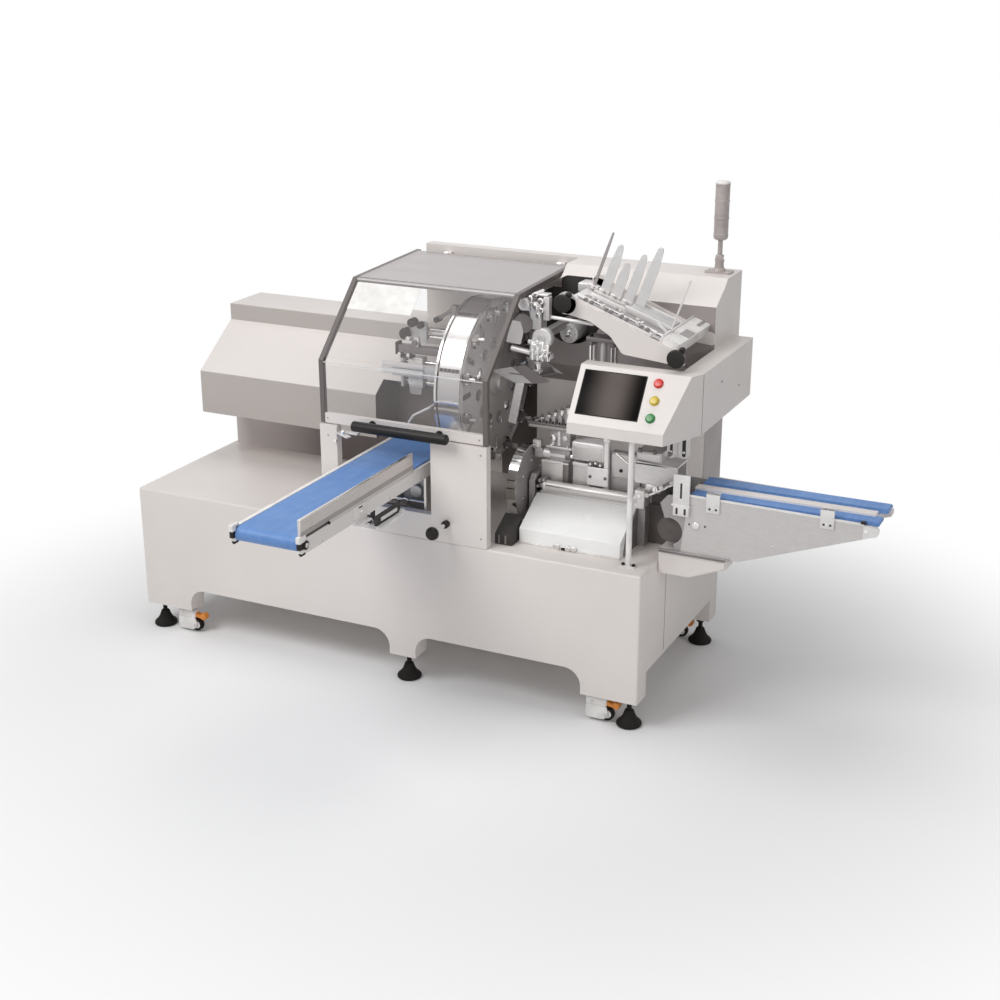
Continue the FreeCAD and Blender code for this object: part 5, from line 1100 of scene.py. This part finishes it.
    # Dark sheets under the console and the outfeed's start, where only shade is: painted shade.
    pit = Piece("outlet_painted_shade", "cream_paint")
    pit.blocks((606, 738, 300, 306, 651, 812, DEEP, 1, 1), (644, 770, 310, 318, 701, 900, DEEP, 1, 1))
    pit.plate("x", 606, 5, [(120, 651), (262, 651), (262, 812), (150, 740)], DARK_ALLOY)
    pit.done(edge=0.5)


# Operator console

def console():
    body = Piece("console_shell", "cream_paint")
    body.plate("x", 410, 460, [(8, 1150), (8, 1194), (140, 1385), (200, 1385), (200, 1150)], CREAM)
    facet = Piece()
    facet.plate("z", 1140, 260, [(870, 200), (788, 8), (788, -20), (890, -20), (890, 200)], CREAM)
    body.minus(facet)
    arm = Piece()
    arm.block(790, 870, 199, 798, 1150, 1385, CREAM)
    body.plus(arm)
    body.done("console_box", "console_arm", edge=5.0, edge_steps=4)

    face = Piece("console_screen", "screen_glass")
    lean = math.atan2(191, 132)
    face.turn = turned_about((0, 8, 1194), lean)
    face.blocks((436, 676, 40, 210, -2, 3.4, SCREEN, 1.2), (432, 680, 36, 214, -2, 1.6, BLACK, 1.0))
    face.done("touch_screen", edge=0)
    keys = Piece("console_buttons", "button_plastic")
    keys.turn = face.turn
    for step, finish in enumerate((GREEN, YELLOW, RED)):
        along = 56 + 68 * step
        keys.turned((726, along, -1), "z", [(0, 0), (19, 0), (19, 2.6), (17, 4), (0, 4)], finish, 36)
        keys.turned((726, along, 2), "z", [(0, 0), (16, 0), (16, 6), (13, 9), (0, 10)], finish, 36)
    keys.done("push_buttons", edge=0)

    post = Piece("console_leg", "stainless_sheet")
    post.rod("z", 650, 1151, 660, 34, 11, WHITE, 0, 32)
    post.block(631, 689, 17, 51, 650, 655, WHITE, 5, 3, "z")
    for x in (639, 681):
        post.rod("z", 655, 663, x, 34, 7, BLACK, 1, 6)
    post.done("console_post", edge=0.4)

    marks = Piece("console_seams", "cream_paint")
    marks.rods("x", (869, 871, 420, 1300, 4, SHADOW, 0, 16), (869, 871, 640, 1230, 4, SHADOW, 0, 16))
    marks.block(869.4, 870.5, 199, 201.4, 1153, 1382, SHADOW)
    marks.done(edge=0)


# Bag magazine

def magazine():
    tilt = math.atan2(161, 453)
    top = turned_about((318, 0, 1598), tilt, "Y")
    sides = Piece("magazine_sides", "cream_paint")
    outline = [(288, 1626), (348, 1612), (791, 1444), (791, 1400), (548, 1422), (498, 1486), (418, 1532),
               (288, 1558)]
    for y in (200, 546):
        sides.plate("y", y, 12, outline, CREAM, 10, 4)
        sides.rod("y", y, y + 12, 318, 1592, 42, CREAM, 0, 40)
    sides.done("magazine_plates", edge=0.8)

    table = Piece("magazine_bed", "stainless_sheet")
    table.turn = top
    table.blocks(
        (-20, 446, 212, 546, -14, -8, PALE, 1), (30, 350, 212, 232, -8, 30, PALE, 3, 3),
        (36, 340, 212, 216, 28, 38, CAST, 2), (20, 390, 262, 292, -8, 4, PALE, 2),
        (20, 420, 322, 356, -8, 8, CAST, 2), (20, 380, 392, 410, -8, 6, PALE, 2),
        (10, 400, 452, 500, -8, 2, SATIN, 2))
    table.rods("x", (24, 400, 306, 4, 7, CHROME), (24, 360, 240, 30, 8, PALE))
    table.blocks(
        (179, 366, 389, 494, 14, 19, FROST, 2), (172, 374, 380, 390, 2, 24, PALE, 2),
        (172, 374, 492, 500, 2, 24, PALE, 2))
    table.plate("z", -8, 48, [(395, 212), (465, 212), (465, 590), (395, 590)], WHITE, 6)
    for a0, a1, b0, b1 in ((423, 462, 311, 395), (431, 446, 478, 565)):
        table.block(a0, a1, b0, b1, 39.6, 40.6, CAST, 3, 2, "z")
    table.block(388, 396, 212, 590, -8, 44, PALE, 1.5)
    table.plate("z", 40, 6, [(330, 300), (396, 250), (396, 262), (336, 312)], PALE)
    for along in (58, 84, 146, 166, 210, 234, 296, 322):
        table.block(along, along + 14, 209, 224, 30, 42, DARK_ALLOY, 2)
    for along in (112, 190, 262):
        table.slot_mark("z", 38.2, along, 222, 26, 8, SHADOW, sign=1)
        table.rod("z", 30, 44, along + 22, 236, 6, PALE, 2)
    for along, y in ((60, 330), (150, 344), (250, 330)):
        table.rods("z", (4, 18, along, y, 9, SATIN, 2), (2, 14, along + 20, y, 6, CHROME, 1))
    table.rod("z", 40, 52, 395, 300, 9, STEEL, 1.5)
    table.turn = Matrix()
    table.bar((692, 300, 1478), (770, 300, 1700), 4, PALE, 0, 16)
    table.done("magazine_table", edge=0.5)

    strips = Piece("magazine_guides", "frosted_plastic")
    for along, high, half, finish in ((0, 237, 6, CAST), (48, 205, 19, FROST), (98, 152, 20, FROST),
                                      (149, 210, 19, FROST), (200, 262, 20, FROST)):
        strips.turn = top @ Matrix.Translation((along, 470, -2))
        tip = half * 0.62
        outline = [(-half, 0), (half, 0), (half, high * 0.62), (tip, high - tip), (tip * 0.5, high),
                   (-tip * 0.5, high), (-tip, high - tip), (-half, high * 0.62)]
        strips.plate("y", -3, 6, outline, finish, 2)
        strips.block(-22, 22, -12, 12, 0, 16, PALE, 2)
        strips.rod("y", -18, -10, 0, 9, 8, STEEL, 1.5)
    strips.done("magazine_fingers", edge=0.5)

    for end, x, z in (("upper", 318, 1598), ("lower", 771, 1437)):
        wheel = Piece(f"crank_{end}", "black_plastic", f"{end}_handwheel")
        wheel.turned((x, 156, z), "y", [(0, 0), (26, 0), (33, 2.5), (35, 7), (35, 13), (33, 17.5), (26, 20),
                     (0, 20)], BLACK, 48)
        wheel.rods("y", (175, 212, x, z, 6, CHROME), (176, 190, x, z, 12, BLACK, 2))
        px, pz = x + 35 * math.cos(math.radians(60)), z + 35 * math.sin(math.radians(60))
        wheel.turned((px, 170, pz), "y", [(0, 0), (7, 0), (11, 5), (13, 12), (12, 20), (7, 26), (0, 27)],
                     BLACK, 28)
        wheel.done(f"handwheel_{end}", edge=0)


def picker():
    head_piece = Piece("picker_head", "alloy_casting")
    head_piece.blocks(
        (360, 480, 300, 370, 1428, 1446, DARK_ALLOY, 3), (390, 450, 370, 558, 1428, 1446, SATIN, 3),
        (360, 480, 300, 370, 1324, 1336, SATIN, 3))
    for x in (376, 464):
        for y in (316, 354):
            head_piece.rods("z", (1336, 1428, x, y, 8, CHROME), (1412, 1428, x, y, 12, DARK_ALLOY, 1))
        head_piece.rod("z", 1446, 1458, x, 316, 8, BLACK, 2)
    head_piece.rod("z", 1336, 1428, 420, 335, 14, SATIN)
    head_piece.done("bag_picker", edge=0.6)


# Conveyors

def infeed():
    dress("infeed_belt", BELT)
    rollers = Piece("infeed_drums", "black_plastic")
    for y in (-884, 340):
        rollers.rods("x", (-448, -192, y, 923, 22.6, BLACK, 0, 36), (-463, -177, y, 923, 8, STEEL, 0, 20))
    for x in (-177, -469):
        rollers.rod("x", x, x + 6, -884, 923, 17, BLACK, 2)
    rollers.rod("x", -172, -168, -884, 923, 9, STEEL, 1)
    rollers.done("infeed_rollers", edge=0.5)

    side = Piece("infeed_sides", "stainless_sheet")
    for x in (-463, -189):
        side.block(x, x + 12, -903, 359, 890, 945, PALE, 1, 1)
    side.blocks(
        (-465, -449, -903, 359, 944, 953, WHITE, 1.5), (-451, -189, -844, 300, 931.6, 945.6, STEEL_Y),
        (-178, -174.5, -901, -732, 949, 956, SHADOW, 1))
    side.rod("x", -176, -170, -732, 953, 6, BLACK, 1)
    for y in (-860, -780, -560, -300, -60):
        side.screw((-177, y, 903), "x", 5, 3, CHROME, BLACK, 1)
    side.blocks((-178, -172, -560, -470, 880, 950, PALE, 2), (-178, -150, -560, -470, 880, 886, PALE, 2))
    side.rod("x", -176, -166, -515, 924, 7, CHROME, 1)
    side.slot_mark("x", -172, -515, 940, 26, 6, SHADOW, sign=1)
    outer = [(-411, 865), (-411, 830), (-400, 823), (-232, 823), (-220, 836), (-220, 865)]
    side.plate("x", -180, 6, outer, SHADOW, 3)
    side.plate("x", -174, 18, [(-396, 822), (-396, 812), (-236, 812), (-220, 826), (-220, 838),
               (-236, 822)], WHITE, 2)
    side.block(-175, -170, -372, -250, 836, 850, PALE, 2)
    for x in (-192, -467):
        side.blocks(
            (x, x + 18, -923, -880, 936, 961, WHITE, 3, 3), (x + 1, x + 17, -920, -884, 912, 936, BLACK, 2),
            (x, x + 18, -912, -884, 898, 912, WHITE, 2))
        side.rod("y", -908, -886, x + 9, 894, 8, BLACK, 1.5)
    side.done("infeed_frame", edge=0.8)

    fence = Piece("infeed_fence", "stainless_sheet")
    fence.blocks(
        (-189, -177, -911, -108, 945, 1021, STEEL_Y, 1, 1), (-177.4, -176.4, -911, -108, 958, 976, CAST))
    fence.rod("y", -911, -108, -183, 1019, 5.2, CHROME, 0, 20)
    fence.done("infeed_rail", edge=0.6)

    stand = Piece("infeed_stand", "stainless_sheet")
    for x in (-462, -188):
        stand.block(x, x + 10, -5, 259, 650, 890, STEEL_Z)
        for low in (650, 694):
            stand.block(x - 17, x + 27, -5, 259, low, low + 6, STEEL_Z)
        for y in (30, 220):
            stand.screw((x + 18, y, 656), "z", 6, 5, CHROME, SHADOW, 1)
    stand.blocks((-420, -214, 80, 240, 720, 850, CAST, 8), (-400, -330, 70, 82, 740, 820, DARK_ALLOY, 3))
    stand.rods("y", (60, 84, -260, 800, 26, SATIN, 3, 32), (40, 84, -300, 760, 14, CHROME, 2))
    for z in (700, 760, 870):
        stand.rod("x", -452, -188, 60, z, 7, CHROME)
    stand.done("infeed_support", edge=0.6)


def outfeed():
    y0, y1 = 138, 374
    tray = Piece("outfeed_tray", "stainless_sheet")
    outline = [(827, 700), (1054, 700), (1516, 870), (1554, 886), (1554, 921), (853, 931)]
    for y in (y0, y1 - 10):
        tray.plate("y", y, 10, outline, SATIN)
    tray.blocks((853, 1530, y0 + 10, y1 - 10, 907, 917, STEEL), (853, 1534, 204, 244, 917, 945, CREAM, 3, 3))
    tray.strut((853, y0 + 2, 931), (1508, y0 + 2, 923), 7, 7, WHITE)
    tray.strut((853, y1 - 4, 933), (1508, y1 - 4, 925), 7, 7, PALE)
    tray.block(793, 858, 128, 137, 890, 1010, PALE, 2)
    tray.slot_mark("y", 128, 825, 948, 62, 8, SHADOW, upright=True)
    tray.blocks((788, 862, 126, 132, 886, 893, WHITE, 1), (797, 859, 122, 137, 850, 888, PALE, 2))
    for x in (812, 844):
        tray.slot_mark("y", 122, x, 869, 26, 9, SHADOW, upright=True)
    for x0, x1, low, high in ((922, 975, 877, 956), (1350, 1402, 887, 964)):
        tray.blocks((x0, x1, 130, 137.6, low, high, PALE, 2), (x0, x1, 130, 148, high - 6, high, PALE, 2))
        for x in (x0 + 15, x1 - 13):
            tray.rod("y", 129.4, 131, x, low + 16, 4.5, SHADOW, 0, 20)
        tray.rod("y", 127, 131, (x0 + x1) / 2, low + 16, 5, WHITE, 1, 20)
    tray.rod("y", y0, y0 - 8, 885, 818, 14, CHROME, 2)
    for x in (858, 920):
        tray.rod("y", y0 - 0.6, y0 + 1, x, 818, 4, SHADOW, 0, 20)
    tray.screw((1180, y0, 780), "y", 5, 2, CHROME, BLACK)
    tray.rod("y", y0 - 6, y0, 1516, 896, 8, CHROME, 1)
    tray.block(1496, 1512, y0 - 4, y0 + 12, 925, 934, BLACK, 1)
    nose = [(1506, 868), (1556, 884), (1562, 896), (1562, 914), (1530, 919), (1506, 919)]
    for y in (y0 - 3, y1 - 9):
        tray.plate("y", y, 12, nose, PALE, 3)
    tray.done("outfeed_frame", edge=0.8)
    dress("outfeed_belts", BELT)

    start = Piece("outfeed_start", "stainless_sheet")
    turn = [math.radians(-70 + 15 * step) for step in range(13)]
    arc = [(778 + 53 * math.cos(a), 777 + 53 * math.sin(a)) for a in turn]
    start.plate("y", 141, 5, arc + [(752, 850), (740, 884), (770, 920), (846, 928), (840, 702), (806, 702)],
                CAST)
    start.rod("y", 160, 360, 778, 777, 52, DEEP, 0, 48)
    start.block(748, 846, 364, 369, 704, 924, CAST, 2)
    start.bar((742, 180, 852), (752, 180, 790), 4, SATIN, 0, 16)
    start.rods("y", (176, 186, 746, 790, 7, DARK_ALLOY, 1, 16), (176, 186, 742, 852, 8, CHROME, 1, 16))
    start.done(edge=0.6)

    shelf = Piece("outfeed_shelf", "cream_paint")
    shelf.plate("y", 141, 230, [(740, 600), (860, 600), (1010, 660), (1010, 700), (740, 700)], CREAM)
    shelf.done("outfeed_bracket", edge=2.0)
    lip = Piece("outfeed_lip", "cream_paint")
    lip.blocks((740, 1024, 128, 141, 699, 704, CAST, 1, 1), (744, 1006, 126, 139, 693, 699, DARK_ALLOY, 1, 1))
    lip.plate("y", 134, 7, [(744, 693), (1004, 693), (1004, 664), (866, 606), (756, 606), (744, 618)],
              CREAM, 3, 3)
    lip.done(edge=0.6)


cabinet()
levelling_feet()
casters()
hood()
head()
tower()
front()
guard()
drum()
bearing_arm()
pusher_parts()
gripper_parts()
transfer()
sealing()
console()
magazine()
picker()
infeed()
outfeed()


# Camera, light and floor

def aim(item, target):
    item.rotation_mode = "QUATERNION"
    item.rotation_quaternion = (Vector(target) - item.location).to_track_quat("-Z", "Y")


camera = bpy.data.objects.new("camera", bpy.data.cameras.new("camera"))
bpy.context.scene.collection.objects.link(camera)
camera.data.sensor_width = 36.0
camera.data.lens = 57.54
camera.data.clip_end = 100.0
camera.location = (2.634, -5.197, 2.951)
aim(camera, camera.location + Vector((-0.4063, 0.8469, -0.3429)))
bpy.context.scene.camera = camera


def lamp(name, place, target, width, height, power):
    light = bpy.data.lights.new(name, "AREA")
    light.shape = "RECTANGLE"
    light.size = width
    light.size_y = height
    light.energy = power
    item = bpy.data.objects.new(name, light)
    bpy.context.scene.collection.objects.link(item)
    item.location = place
    aim(item, target)


lamp("key_lamp", (-2.0, -3.2, 4.6), (0, 0.3, 0.8), 3.0, 2.2, 146)
lamp("front_lamp", (1.5, -5.0, 2.2), (0, 0.3, 0.8), 3.0, 2.0, 28)
lamp("top_lamp", (0.0, 0.5, 5.0), (0, 0.4, 0.0), 4.0, 3.0, 66)
lamp("side_lamp", (4.4, -2.0, 2.8), (0, 0.3, 0.9), 2.4, 2.0, 36)


def world_light():
    """Soft pale light all round. The camera, reflections and clear sheets see plain white instead."""
    world = bpy.data.worlds.new("studio")
    bpy.context.scene.world = world
    world.use_nodes = True
    tree = world.node_tree
    tree.nodes.clear()
    path = add_node(tree, "LightPath")
    seen = larger(tree, larger(tree, path["Is Camera Ray"], path["Is Glossy Ray"]), path["Is Transmission Ray"])
    soft = add_node(tree, "Background", {"Color": (0.98, 0.985, 1.0, 1.0), "Strength": 0.20})
    white = add_node(tree, "Background", {"Color": (1.0, 1.0, 1.0, 1.0)})
    choose = add_node(tree, "MixShader", {0: seen, 1: soft["Background"], 2: white["Background"]})
    add_node(tree, "OutputWorld", {"Surface": choose["Shader"]})


def floor_sheet():
    """Pale floor that keeps the machine's shadow and fades into the white room away from it."""
    bm = bmesh.new()
    bmesh.ops.create_grid(bm, x_segments=2, y_segments=2, size=30.0)
    mesh = bpy.data.meshes.new("floor")
    bm.to_mesh(mesh)
    bm.free()
    floor = bpy.data.objects.new("floor", mesh)
    bpy.context.scene.collection.objects.link(floor)
    made = Finish("floor_white", roughness=0.75, shine=0.1)
    made.colour(made.effect(MOTTLE, Scale=0.8), (0.93, 0.93, 0.93), (0.95, 0.95, 0.95))
    mesh.materials.append(made.material)
    tree = made.tree
    reach = add_node(tree, "VectorMath", {0: add_node(tree, "TexCoord")["Object"]}, operation="LENGTH")["Value"]
    away = add_node(tree, "MapRange", {"Value": reach, "From Min": 1.2, "From Max": 3.0},
                    interpolation_type="SMOOTHSTEP")["Result"]
    path = add_node(tree, "LightPath")
    share = product(tree, larger(tree, path["Is Camera Ray"], path["Is Glossy Ray"]), away)
    fade = add_node(tree, "MixShader", {0: share, 1: made.shader.outputs["BSDF"],
                                        2: add_node(tree, "Emission")["Emission"]})
    tree.links.new(fade["Shader"], tree.nodes["Material Output"].inputs["Surface"])


world_light()
floor_sheet()
bpy.context.scene.view_settings.view_transform = "Standard"
